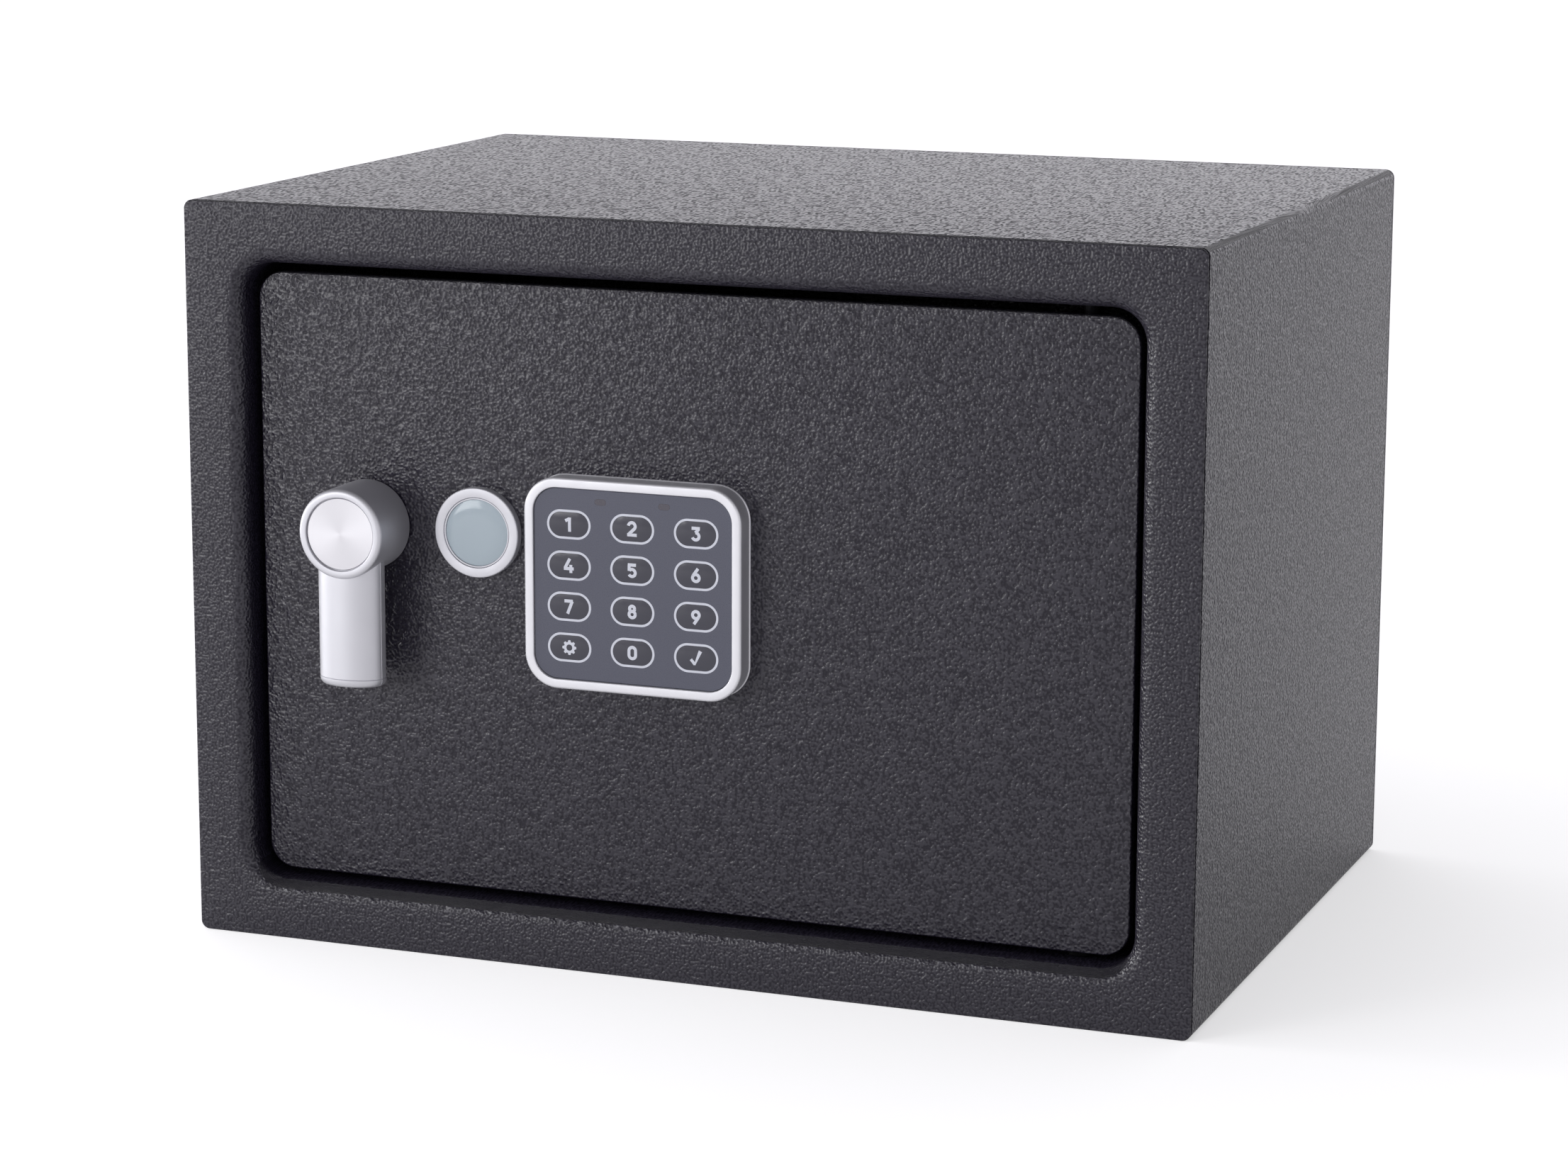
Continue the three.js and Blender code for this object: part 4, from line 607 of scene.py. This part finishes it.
LEVER_HALF = 11.4
LEVER_BAND = 3.25
LEVER_LEDGE = 0.12
LEVER_CROWN = 6.0
LEVER_CREASE = 49.3
LEVER_GROOVE = 0.22
TIP_ROUND = 2.4
TIP_INSET = 0.17
LEVER_BACK_Y = KNOB_FRONT_Y + 1 + LEVER_CROWN + LEVER_BAND


def lever_rings(height, scale, shrink):
    """Lever's outline at each height: a flat back with round edges, straight side bands, a narrow ledge,
    and a crown that is the top of an ellipse. Each outline is scaled towards the middle of its back, and
    its crown and sides are drawn in by shrink."""
    half = LEVER_HALF - LEVER_LEDGE
    turn = np.radians(np.linspace(8, 172, 31))
    crown = np.stack([half * np.cos(turn) / np.cos(turn[0]),
                      LEVER_CROWN * (np.sin(turn) - np.sin(turn[0])) / (1 - np.sin(turn[0]))], -1)
    right = np.concatenate([arc(LEVER_HALF - 0.4, 0.4 - LEVER_BAND, 0.4, -90, 0, 4),
                            arc(LEVER_HALF - 0.15, -0.15, 0.15, 0, 90, 3)])
    left = right[::-1] * [-1, 1]
    section = np.concatenate([right, crown, left])
    scale = np.asarray(scale, float)[:, None]
    shrink = np.asarray(shrink, float)[:, None]
    size = np.hypot(section[:, 0], section[:, 1] + LEVER_BAND)
    pull = 1 - shrink / size
    x = section[:, 0] * scale * pull
    y = LEVER_BACK_Y - (section[:, 1] + LEVER_BAND) * scale * pull
    z = np.broadcast_to(np.asarray(height, float)[:, None], x.shape)
    return np.stack([x + knob_x, y, z], -1)


crease_z = knob_z - LEVER_CREASE
tip_turn = np.radians(np.linspace(0, 84, 11))
tip_scale = np.concatenate([1 - TIP_INSET * (1 - np.cos(tip_turn)), [0.7, 0.4, 0.04]])
tip_height = crease_z - np.concatenate([TIP_ROUND * np.sin(tip_turn), [2.6, 2.7, 2.75]])
crease_height = crease_z + np.array([0.45, 0.3, 0.15])
lever = skin(lever_rings(
    np.concatenate([[knob_z - 5, knob_z - 15], crease_height, tip_height]),
    np.concatenate([np.ones(5), tip_scale]),
    np.concatenate([[0, 0, 0, LEVER_GROOVE, 0], np.zeros(14)]),
))
make("nickel_knob_and_lever", [(barrel, casting), (lever, casting)], "knob", ["handle"],
     sharp=24)

disc_low, disc_high = span("knob_disc")
disc_radius = disc_high[0] - knob_x
disc_rings = np.linspace(disc_radius - 0.6, 0.05, 12)
disc_face = np.stack([disc_rings, np.full_like(disc_rings, disc_low[1])], -1)
make("spun_disc", [(turned([
    (0, disc_high[1]), (disc_radius, disc_high[1]), (disc_radius, disc_low[1] + 0.2),
    (disc_radius - 0.2, disc_low[1]), *disc_face.tolist(),
], "y", KNOB_CENTRE, 128), disc_metal)], "knob", ["knob_disc"])


# Round badge: the ring is the cap of the override lock, with a domed resin disc set in it

LOCK_CENTRE = (lock_x, lock_z)
cap_low, cap_high = span("badge_ring")
RING_WIDTH = 3.35
CAP_RADIUS = (cap_high[0] - cap_low[0]) / 2
CAP_EDGE = 0.5
CAP_BORE = 12.3
DISH_EDGE = CAP_RADIUS - RING_WIDTH
cap_front_y, cap_back_y = cap_low[1], cap_high[1]
cap_dish_y = span("badge_disc")[1][1]
make("satin_badge_ring", [(turned([
    (0, cap_dish_y), (DISH_EDGE - 0.55, cap_dish_y), (DISH_EDGE - 0.55, cap_front_y + 0.5),
    (DISH_EDGE - 0.4, cap_front_y + 0.3), (DISH_EDGE - 0.1, cap_front_y + 0.3),
    (DISH_EDGE, cap_front_y + 0.55), (DISH_EDGE + 0.1, cap_front_y + 0.2),
    *arc(DISH_EDGE + 0.35, cap_front_y + 0.25, 0.25, 200, 268, 3).tolist(),
    *arc(CAP_RADIUS - CAP_EDGE, cap_front_y + CAP_EDGE, CAP_EDGE, -88, 0, 6).tolist(),
    (CAP_RADIUS, cap_back_y), (CAP_BORE, cap_back_y), (CAP_BORE, cap_dish_y + 0.5), (0, cap_dish_y + 0.5),
], "y", LOCK_CENTRE, 128), casting)], "lock_cap", ["badge_ring"], sharp=24)
resin_radius = DISH_EDGE - 0.6
dome = np.linspace(1, 0, 24)
resin_face = np.stack([resin_radius * dome, cap_front_y + 0.62 * dome ** 6 + 0.12 * dome ** 2], -1)
make("plain_resin_dome", [(turned([
    (0, cap_dish_y), (resin_radius, cap_dish_y), *resin_face.tolist(),
], "y", LOCK_CENTRE, 96), resin)], "lock_cap", ["badge_disc"])


# Override lock behind the cap: the flanged barrel shows when the cap is off

LOCK_BORE = 6.3
LOCK_BARREL = 9.75
LOCK_FLANGE = 12.0
flange_y = span("lock_body")[0][1]
lock_back_y = span("lock_body")[1][1]
make("lock_barrel", [(turned([
    (LOCK_BORE, lock_back_y), (LOCK_BORE, flange_y + 0.4), (LOCK_BORE + 0.4, flange_y),
    (LOCK_FLANGE - 0.5, flange_y), (LOCK_FLANGE, flange_y + 0.5), (LOCK_FLANGE, DOOR_FRONT_Y),
    (LOCK_BARREL, DOOR_FRONT_Y), (LOCK_BARREL, lock_back_y - 0.3), (LOCK_BARREL - 0.3, lock_back_y),
], "y", LOCK_CENTRE, 96, endless=True), casting)], "door", ["lock_body"], sharp=24)


# Keypad: bezel with a rounded crest and a groove at its foot

bezel_low, bezel_high = span("keypad_bezel")
PAD_HALF = ((bezel_high[0] - bezel_low[0]) / 2, (bezel_high[2] - bezel_low[2]) / 2)
PAD_CENTRE = ((bezel_high[0] + bezel_low[0]) / 2, (bezel_high[2] + bezel_low[2]) / 2)
PAD_RADIUS = 11.5
RIM = 3.25
RIM_INSIDE = 2.0
CREST = 0.9
FOOT_GROOVE = 0.3
pad_front_y = bezel_low[1]
panel_y, panel_back_y = span("keypad_panel")[0][1], span("keypad_panel")[1][1]
wall_inset = FOOT_GROOVE * (1 - np.linspace(0.2, 1, 4))
wall_depth = np.linspace(DOOR_FRONT_Y - 3.2, pad_front_y + 1.6, 4)
make("satin_bezel", [(skin(carried([
    (0.0, DOOR_FRONT_Y), (0.0, DOOR_FRONT_Y - 0.45), (FOOT_GROOVE, DOOR_FRONT_Y - 0.75),
    *np.stack([wall_inset, wall_depth], -1).tolist(),
    *arc(CREST, pad_front_y + CREST, CREST, 180, 268, 8).tolist(),
    *arc(RIM - 0.4, pad_front_y + 0.42, 0.4, -90, 0, 5).tolist(),
    (RIM, panel_back_y), (RIM_INSIDE, panel_back_y), (RIM_INSIDE, DOOR_FRONT_Y),
], *PAD_HALF, PAD_RADIUS, PAD_CENTRE, 16), endless=True), bezel_plate)], "door", ["keypad_bezel"],
     sharp=24)


# Overlay with its key holes, its light windows and the outlines printed round the keys

KEY_HALF = (6.875, 4.0)
KEY_GAP = 0.025
KEY_PROUD = 0.25
PITCH_X = 22.25
PITCH_Z = 13.6
WINDOW_HALF = (2.0, 1.0)
WINDOW_RISE = 4.0
TOP_ROW_Z = middle("key_1")[2]
FIGURES = [["1", "2", "3"], ["4", "5", "6"], ["7", "8", "9"], ["set", "0", "enter"]]


def bar_rings(profile, centre, steps=12):
    """Rings of a profile of [inset, depth] carried round a key's half-round-ended outline."""
    return carried(profile, *KEY_HALF, KEY_HALF[1], centre, steps)


def window_shell(centre, grow, front, rear):
    """Closed shell of a light window, a bar of 4 by 2 mm with round ends."""
    return skin(carried([(-grow, front), (-grow, rear)], *WINDOW_HALF, WINDOW_HALF[1], centre, 8))


key_centres = {name: (PAD_CENTRE[0] + (place - 1) * PITCH_X, TOP_ROW_Z - row * PITCH_Z)
               for row, names in enumerate(FIGURES) for place, name in enumerate(names)}
window_z = TOP_ROW_Z + KEY_HALF[1] + WINDOW_RISE
window_centres = [(PAD_CENTRE[0] + side * PITCH_X / 2, window_z) for side in (-1, 1)]
panel_half = (PAD_HALF[0] - RIM - 0.15, PAD_HALF[1] - RIM - 0.15)
panel = make("printed_overlay", [(skin(carried([
    (0, panel_back_y), (0, panel_y + 0.15), (0.15, panel_y),
], *panel_half, PAD_RADIUS - RIM - 0.15, PAD_CENTRE, 16)), overlay)], "door", ["keypad_panel"])
before_panel, behind_panel = panel_y - 1, panel_back_y + 1
key_hole = [(-KEY_GAP, before_panel), (-KEY_GAP, behind_panel)]
cut_out(panel, [skin(bar_rings(key_hole, centre)) for centre in key_centres.values()]
        + [window_shell(centre, 0.03, before_panel, behind_panel) for centre in window_centres])
lens_low, lens_high = span("led_lens")
light_pipe = block((lens_low[0], panel_back_y, lens_low[2]), lens_high)
windows = [(window_shell(centre, 0, panel_y - 0.01, panel_back_y), lens_film) for centre in window_centres]
make("smoked_windows", [*windows, (light_pipe, tray_black)], "door", ["led_lens"])

INK = 0.03
LINE_OUT = 0.825
LINE_IN = 0.075
line_profile = [(-LINE_IN, panel_y + INK), (-LINE_IN, panel_y - INK), (-LINE_OUT, panel_y - INK),
                (-LINE_OUT, panel_y + INK)]
make("printed_outlines", [(skin(bar_rings(line_profile, centre, 16), endless=True), ink)
                          for centre in key_centres.values()], "door")


# Domed keys, with figures drawn as strokes that lie on the domes

STROKE = 1.04
FLANGE_OUT = 0.75
FLANGE_THICK = 0.75
FLANGE_GAP = 0.03


def key_shell(centre):
    """Key: a flange behind the overlay, a straight stem, and a pillowed face whose height falls with the
    square of the distance from its middle line."""
    off = np.linspace(1, 0.005, 14)
    face = np.stack([KEY_HALF[1] * (1 - off), panel_y - KEY_PROUD * (1 - off ** 2)], -1)
    seat = panel_back_y + FLANGE_GAP
    return skin(bar_rings([(-FLANGE_OUT, panel_back_y + FLANGE_THICK), (-FLANGE_OUT, seat), (0, seat),
                           *face.tolist()], centre))


def on_dome(x, z, lift, centre):
    """Points on a key's face, moved back by lift: the face is proud in the middle and falls with the
    square of the distance from its long middle line."""
    off = np.hypot(np.maximum(np.abs(x) - (KEY_HALF[0] - KEY_HALF[1]), 0), z) / KEY_HALF[1]
    y = panel_y - KEY_PROUD * (1 - np.minimum(off, 1) ** 2) + lift
    return np.stack([x + centre[0], y, z + centre[1]], -1)


def strip(left, right, centre):
    """Closed strip of ink between two edges of [x, z] on a key's face, with a hair of thickness."""
    sides = ((left, -INK), (right, -INK), (right, INK), (left, INK))
    return skin(np.stack([on_dome(*edge.T, lift, centre) for edge, lift in sides], 1))


def stroke(path, width, centre):
    """Pen stroke of even width: a strip between points on either side of a path, along its normals."""
    path = np.asarray(path, float)
    along = np.gradient(path, axis=0)
    along /= np.linalg.norm(along, axis=1, keepdims=True)
    normal = np.stack([-along[:, 1], along[:, 0]], -1)
    return strip(path + normal * width / 2, path - normal * width / 2, centre)


def line(*corners, spacing=0.4):
    """Points along straight lines between corners, evenly spaced on each line."""
    corners = np.asarray(corners, float)
    pieces = [np.linspace(a, b, max(2, int(np.linalg.norm(b - a) / spacing) + 1))[:-1]
              for a, b in zip(corners[:-1], corners[1:])]
    return np.concatenate([*pieces, corners[-1:]])


def bow(x, z, radius, start, end):
    """Points of an arc of a figure, about every 12 degrees."""
    return arc(x, z, radius, start, end, max(3, int(abs(end - start) / 12)))


SIX = [np.concatenate([line((0.72, 2.35), (-0.98, -0.02)), bow(0, -0.72, 1.15, 143, 503)])]
STROKES = {
    "1": [line((0.35, -2.35), (0.35, 2.35)), line((-1.15, 1.2), (0.3, 1.92))],
    "2": [np.concatenate([bow(0, 0.98, 1.2, 172, -30), line((0.85, 0.15), (-1.15, -1.72))]),
          line((-1.65, -1.87), (1.7, -1.87))],
    "3": [line((-1.45, 1.87), (1.4, 1.87)), line((1.05, 1.75), (-0.12, 0.42)),
          bow(-0.05, -0.72, 1.17, 96, -160)],
    "4": [line((0.35, 2.35), (-1.3, -0.75)), line((-1.75, -0.95), (1.75, -0.95)),
          line((0.72, 0.35), (0.72, -2.35))],
    "5": [line((-1.45, 1.87), (1.4, 1.87)), line((-0.98, 2.0), (-0.98, -0.1)),
          bow(-0.02, -0.72, 1.17, 138, -150)],
    "6": SIX,
    "7": [line((-1.65, 1.87), (1.35, 1.87)), line((1.15, 1.85), (-0.55, -2.35))],
    "8": [bow(0, 1.02, 0.88, 0, 360), bow(0, -0.82, 1.08, 0, 360)],
    "9": [-path for path in SIX],
    "0": [np.concatenate([bow(0, 0.7, 1.17, 0, 180), bow(0, -0.7, 1.17, 180, 360), [(1.17, 0.7)]])],
}
GEAR_TEETH = 8
GEAR_BORE = 1.05
GEAR_RADIUS = 2.18
GEAR_TOOTH = 0.28


def gear_shell(centre):
    """Toothed ring: its outer radius swings between root and tip eight times round, held flat at both."""
    angle = np.linspace(0, 2 * np.pi, 128, endpoint=False)
    outer = GEAR_RADIUS + GEAR_TOOTH * np.clip(np.cos(angle * GEAR_TEETH) * 2.2 + 0.3, -1, 1)
    inner = np.full_like(outer, GEAR_BORE)
    loops = [on_dome(radius * np.cos(angle), radius * np.sin(angle), lift, centre)
             for radius, lift in ((inner, INK), (inner, -INK), (outer, -INK), (outer, INK))]
    return skin(np.stack(loops), endless=True)


def tick_shells(centre):
    """Tick mark: a short leg and a long leg that widens upwards."""
    long_leg = line((-0.45, -2.2), (1.55, 2.5))
    width = np.linspace(0.45, 1.25, len(long_leg))[:, None]
    along = (long_leg[-1] - long_leg[0]) / np.linalg.norm(long_leg[-1] - long_leg[0])
    across = np.array([-along[1], along[0]])
    return [strip(long_leg + across * width / 2, long_leg - across * width / 2, centre),
            stroke(line((-1.75, -0.35), (-0.35, -2.0)), 1.0, centre)]


for name, centre in key_centres.items():
    if name == "set":
        marks = [gear_shell(centre)]
    elif name == "enter":
        marks = tick_shells(centre)
    else:
        marks = [stroke(path, STROKE, centre) for path in STROKES[name]]
    make(f"domed_key_{name}", [(key_shell(centre), key_film)] + [(mark, ink) for mark in marks],
         f"key_{name}_body", [f"key_{name}"], sharp=50)


# Bolts: bright round bar with a chamfered tip

BOLT_RADIUS = 8.0
bolt_low, bolt_high = span("locking_bolt_upper")
tip = bolt_low[0]
bolt_profile = [(0, tip), (6.9, tip), (7.2, tip + 0.15), (7.85, tip + 0.85), (BOLT_RADIUS, tip + 1.2),
                (BOLT_RADIUS, bolt_high[0]), (0, bolt_high[0])]
for end in ("upper", "lower"):
    _, bolt_y, bolt_z = middle(f"locking_bolt_{end}")
    make(f"bright_bolt_{end}", [(turned(bolt_profile, "x", (bolt_y, bolt_z), 96), bolt_metal)], "bolts",
         [f"locking_bolt_{end}"])


# Reset button: a stepped pin with a shallow dish in its end

BUTTON_RADIUS = 4.0
BUTTON_FLANGE = 5.5
BUTTON_EDGE = 0.6
button_start, button_end = span("reset_button")[0][1], span("reset_button")[1][1]
button_x, _, button_z = middle("reset_button")
dish = np.linspace(3.0, 0.05, 8)
dish_face = np.stack([dish, button_end - 0.02 - 0.25 * (1 - (dish / 3) ** 2)], -1)
make("reset_push", [(turned([
    (0, button_start), (BUTTON_FLANGE, button_start), (BUTTON_FLANGE, button_start + 2),
    (BUTTON_RADIUS, button_start + 2), (BUTTON_RADIUS, button_end - BUTTON_EDGE),
    *arc(BUTTON_RADIUS - BUTTON_EDGE, button_end - BUTTON_EDGE, BUTTON_EDGE, 0, 80, 5).tolist(),
    *dish_face.tolist(),
], "y", (button_x, button_z), 64), red_plastic)], "reset", ["reset_button"])


# Cover screws: domed heads with cross recesses

SCREW_RADIUS = 2.0
HEAD_RADIUS = 4.0
HEAD_HEIGHT = 2.25
RECESS_DEPTH = 1.2


def cross_shell(centre, front, rear):
    """Closed shell of a cross recess: a bar 4.2 by 0.8 mm and the same bar upright, as one outline."""
    long, short = 2.1, 0.4
    quarter = np.array([(long, -short), (long, short), (short, short)])
    ring = np.concatenate([quarter, quarter @ [[0, 1], [-1, 0]], -quarter, quarter @ [[0, -1], [1, 0]]])
    y = np.broadcast_to(np.array([front, rear])[:, None], (2, len(ring)))
    x, z = ring.T + np.array(centre)[:, None]
    return skin(np.stack([np.broadcast_to(x, y.shape), y, np.broadcast_to(z, y.shape)], -1))


head_turn = np.radians(np.linspace(0, 88, 12))
for end in ("lower", "upper"):
    screw_low, screw_high = span(f"cover_screw_{end}")
    x, _, z = middle(f"cover_screw_{end}")
    seat, crown_y = screw_high[1] - HEAD_HEIGHT, screw_high[1]
    head = np.stack([HEAD_RADIUS * np.cos(head_turn), seat + HEAD_HEIGHT * np.sin(head_turn)], -1)
    shank = [(0, screw_low[1]), (SCREW_RADIUS, screw_low[1]), (SCREW_RADIUS, seat)]
    screw = make(f"cross_screw_{end}", [(turned([*shank, *head.tolist()], "y", (x, z), 64), zinc)], "door",
                 [f"cover_screw_{end}"])
    cut_out(screw, [cross_shell((x, z), crown_y - RECESS_DEPTH, crown_y + 1)])


# Cells: a steel can with its button and crimped rim, in a sleeve with a band at the button's end

CELL_RADIUS = 7.25
BAND_START = 36.0
for order in range(4):
    node = f"battery_{order + 1}"
    low, high = span(node)
    _, y, z = middle(node)
    way = 1 if order % 2 == 0 else -1
    start, end = (low[0], high[0]) if way > 0 else (high[0], low[0])
    seam = start + BAND_START * way
    steel = [(0, start + 0.3 * way), (5.5, start + 0.3 * way), (5.7, start), (6.4, start),
             (6.9, start + 0.3 * way), (6.9, end - 2.0 * way), (6.2, end - 1.6 * way), (2.7, end - 1.5 * way),
             (2.7, end - 0.3 * way), (2.4, end), (0, end)]
    jacket = [(6.5, start + 0.25 * way), (7.0, start + 0.35 * way), (CELL_RADIUS, start + way),
              (CELL_RADIUS, seam), (6.9, seam), (6.5, start + way)]
    band = [(6.9, seam), (CELL_RADIUS, seam), (CELL_RADIUS, end - 2.1 * way), (6.9, end - 1.55 * way),
            (6.4, end - 1.5 * way), (6.4, seam + way)]
    make(f"cell_{order + 1}", [(turned(steel, "x", (y, z), 48), zinc),
                               (turned(jacket, "x", (y, z), 48, endless=True), sleeve),
                               (turned(band, "x", (y, z), 48, endless=True), copper)],
         "door", [node])


# Felt mat: a thin sheet laid on the body's floor

mat_low, mat_high = span("floor_mat")
MAT_SIZE = (mat_high[0] - mat_low[0], mat_high[1] - mat_low[1])
MAT_STEPS = 61
MAT_TOP_ROOM = 0.15
EDGE_DROP = 0.4
EDGE_REACH = 0.8


def mat_rings():
    """Mat drawn as rows across its width: a thin slab with soft edges whose top waves by a tenth of a
    millimetre, the sum of two slow sines. The edge drops by a curve that dies away inwards."""
    share = np.linspace(0, 1, MAT_STEPS)
    gx, gy = np.meshgrid(mat_low[0] + MAT_SIZE[0] * share, mat_low[1] + MAT_SIZE[1] * share)
    from_edge = np.minimum(np.minimum(gx - mat_low[0], mat_high[0] - gx),
                           np.minimum(gy - mat_low[1], mat_high[1] - gy))
    wave = 0.08 * np.sin(gx / 23.0 + 1.3 * np.sin(gy / 31.0)) + 0.06 * np.sin(gy / 17.0 + 0.7)
    upper = mat_high[2] - MAT_TOP_ROOM - EDGE_DROP * np.exp(-from_edge / EDGE_REACH) + wave
    lower = np.full_like(upper, mat_low[2])
    over = np.stack([gx, gy, upper], -1)
    under = np.stack([gx, gy, lower], -1)[:, ::-1]
    return np.concatenate([over, under], 1)


felt_mat = make("felt_floor_mat", [(skin(mat_rings()), felt)], "body", ["floor_mat"], sharp=60)


# Battery lid with finger ribs

LID_RADIUS = 2.0
RIB_HALF = (9.0, 0.5)
RIB_COUNT = 5
RIB_PITCH = 2.0
FIRST_RIB = 24.0
lid_low, lid_high = span("battery_lid")
lid_half = ((lid_high[0] - lid_low[0]) / 2, (lid_high[2] - lid_low[2]) / 2)
lid_centre = ((lid_high[0] + lid_low[0]) / 2, (lid_high[2] + lid_low[2]) / 2)
lid_top = lid_high[1]
lid_shell = skin(carried([
    (0, lid_low[1]), (0, lid_top - 0.8), (0.1, lid_top - 0.55), (0.35, lid_top - 0.4), (0.6, lid_top - 0.35),
], *lid_half, LID_RADIUS, lid_centre))
ribs = [skin(carried([(0, lid_top - 0.6), (0, lid_top - 0.15), (0.15, lid_top)], *RIB_HALF, RIB_HALF[1],
                     (lid_centre[0], lid_centre[1] + FIRST_RIB - RIB_PITCH * index), 6))
        for index in range(RIB_COUNT)]
make("ribbed_battery_lid", [(shell, abs_black) for shell in [lid_shell, *ribs]], "lid", ["battery_lid"])


# Pieces whose CAD shape is right: their edges are rounded by so many millimetres, with their own finish

for node, material, width in (
        ("hinge_block_upper", paint, 0.6), ("hinge_block_lower", paint, 0.6),
        # The hinge pins' near-black colour is painted shade
        ("hinge_pin_upper", black_steel, 0.3), ("hinge_pin_lower", black_steel, 0.3),
        ("spindle_bush", tray_black, 0.25), ("spindle", zinc, 0.3), ("crank", zinc, 0.3),
        ("spindle_clip", zinc, 0.15), ("bolt_guide", paint, 0.35), ("bolt_carriage", zinc, 0.3),
        ("solenoid_body", zinc, 0.25), ("solenoid_plunger", zinc, 0.25), ("solenoid_spring", zinc, 0.0),
        ("lock_plug", brass, 0.2), ("lock_tail", zinc, 0.25), ("lock_nut", zinc, 0.4),
        ("keypad_base", tray_black, 0.2), ("keypad_board", board_green, 0.1), ("key_mat", silicone, 0.2),
        ("door_cover", abs_black, 0.35), ("control_board", board_green, 0.1), ("ribbon_cable", ribbon, 0.2),
        ("battery_tray", tray_black, 0.25), ("battery_contact_left", zinc, 0.15),
        ("battery_contact_right", zinc, 0.15)):
    softened(node, material, width)


# White paper floor: seen as white, shown in metal and glass, and it keeps the shadow

def background_rays(tree):
    """Two values that are one for camera rays, and one for rays off metal or through glass."""
    path = add(tree, "LightPath")
    glossy = add(tree, "Math", operation="MAXIMUM",
                 feeds={0: path.outputs["Is Glossy Ray"], 1: path.outputs["Is Transmission Ray"]})
    return path.outputs["Is Camera Ray"], glossy


FLOOR_HALF = 6.0
corners = [(-FLOOR_HALF, -FLOOR_HALF, 0), (FLOOR_HALF, -FLOOR_HALF, 0), (FLOOR_HALF, FLOOR_HALF, 0),
           (-FLOOR_HALF, FLOOR_HALF, 0)]
floor_mesh = bpy.data.meshes.new("white_floor")
floor_mesh.from_pydata(corners, [], [(0, 1, 2, 3)])
floor = bpy.data.objects.new("white_floor", floor_mesh)
bpy.context.scene.collection.objects.link(floor)
paper, tree, shader, _ = finish("white_paper_sweep", "#f4f4f4", 0.9, Specular_IOR_Level=0.1,
                                Emission_Color=(1, 1, 1, 1))
camera_ray, glossy_ray = background_rays(tree)
direct = add(tree, "Math", {1: 0.5}, {0: camera_ray}, operation="MULTIPLY")
glow = add(tree, "Math", {1: 0.25}, {0: glossy_ray, 2: direct}, operation="MULTIPLY_ADD")
feed(shader, {"Emission Strength": glow})
floor_mesh.materials.append(paper)


# Studio sky: white to the camera. In reflections it is bright low down and behind, and darker overhead.
# As a light it is strongest from the left.

world = bpy.data.worlds.new("white_studio")
bpy.context.scene.world = world
world.use_nodes = True
tree = world.node_tree
camera_ray, glossy_ray = background_rays(tree)
seen_ray = add(tree, "Math", feeds={0: glossy_ray, 1: camera_ray}, operation="MAXIMUM")
heading = add(tree, "TexCoord").outputs["Generated"]
parts = add(tree, "SeparateXYZ", feeds={"Vector": heading})
ceiling = add(tree, "MapRange", {"From Min": 0.3, "From Max": 0.75, "To Min": 1.05, "To Max": 0.15},
              {"Value": parts.outputs["Z"]})
behind = add(tree, "MapRange", {"To Min": 1.0, "To Max": 1.22}, {"Value": parts.outputs["Y"]})
fill = add(tree, "MapRange", {"From Min": -1.0, "From Max": 1.0, "To Min": 1.1, "To Max": 0.2},
           {"Value": parts.outputs["X"]})
mirrored = add(tree, "Math", feeds={0: ceiling, 1: behind}, operation="MULTIPLY")
overhead = add(tree, "Math", {1: 1.1}, {0: camera_ray, 2: mirrored}, operation="MULTIPLY_ADD")
strength = add(tree, "Mix", feeds={0: seen_ray, 2: fill, 3: overhead}, data_type="FLOAT")
sky = tree.nodes["Background"]
sky.inputs["Color"].default_value = (0.965, 0.95, 1.0, 1)
feed(sky, {"Strength": strength})


# Lamps: a key light at the front left, and a strip that rakes the door from the left

def softbox(name, place, target, size, power):
    """Square area lamp that faces a target; places in millimetres."""
    lamp = bpy.data.lights.new(name, "AREA")
    lamp.shape = "RECTANGLE"
    lamp.size, lamp.size_y = size[0] * MM, size[1] * MM
    lamp.energy = power
    holder = bpy.data.objects.new(name, lamp)
    place, target = Vector(place) * MM, Vector(target) * MM
    aim = (place - target).to_track_quat("Z", "Y").to_matrix().to_4x4()
    holder.matrix_world = Matrix.Translation(place) @ aim
    bpy.context.scene.collection.objects.link(holder)


softbox("key_softbox", (-715, -1140, 365), (0, -100, 110), (455, 455), 3.1)
softbox("strip_softbox", (-2000, -430, 250), (155, -120, 130), (500, 480), 10)


# Camera: fitted to the photograph's view of the body's corners

CAMERA_PLACE = (508.11, -1357.12, 404.57)
CAMERA_AZIMUTH, CAMERA_ELEVATION, CAMERA_ROLL = (math.radians(degrees) for degrees in (20.878, 11.552, 0.193))
camera_data = bpy.data.cameras.new("camera")
camera_data.sensor_fit = "HORIZONTAL"
camera_data.sensor_width = 36.0
camera_data.lens = 97.035
camera_data.clip_start = 0.05
camera_data.clip_end = 50.0
camera = bpy.data.objects.new("camera", camera_data)
backward = Vector((math.sin(CAMERA_AZIMUTH) * math.cos(CAMERA_ELEVATION),
                   -math.cos(CAMERA_AZIMUTH) * math.cos(CAMERA_ELEVATION), math.sin(CAMERA_ELEVATION)))
rightward = Vector((math.cos(CAMERA_AZIMUTH), math.sin(CAMERA_AZIMUTH), 0))
upward = backward.cross(rightward)
view = Matrix((rightward, upward, backward)).transposed().to_4x4() @ Matrix.Rotation(CAMERA_ROLL, 4, "Z")
camera.matrix_world = Matrix.Translation(Vector(CAMERA_PLACE) * MM) @ view
bpy.context.scene.collection.objects.link(camera)
bpy.context.scene.camera = camera
bpy.context.scene.view_settings.view_transform = "Standard"

bpy.context.view_layer.update()
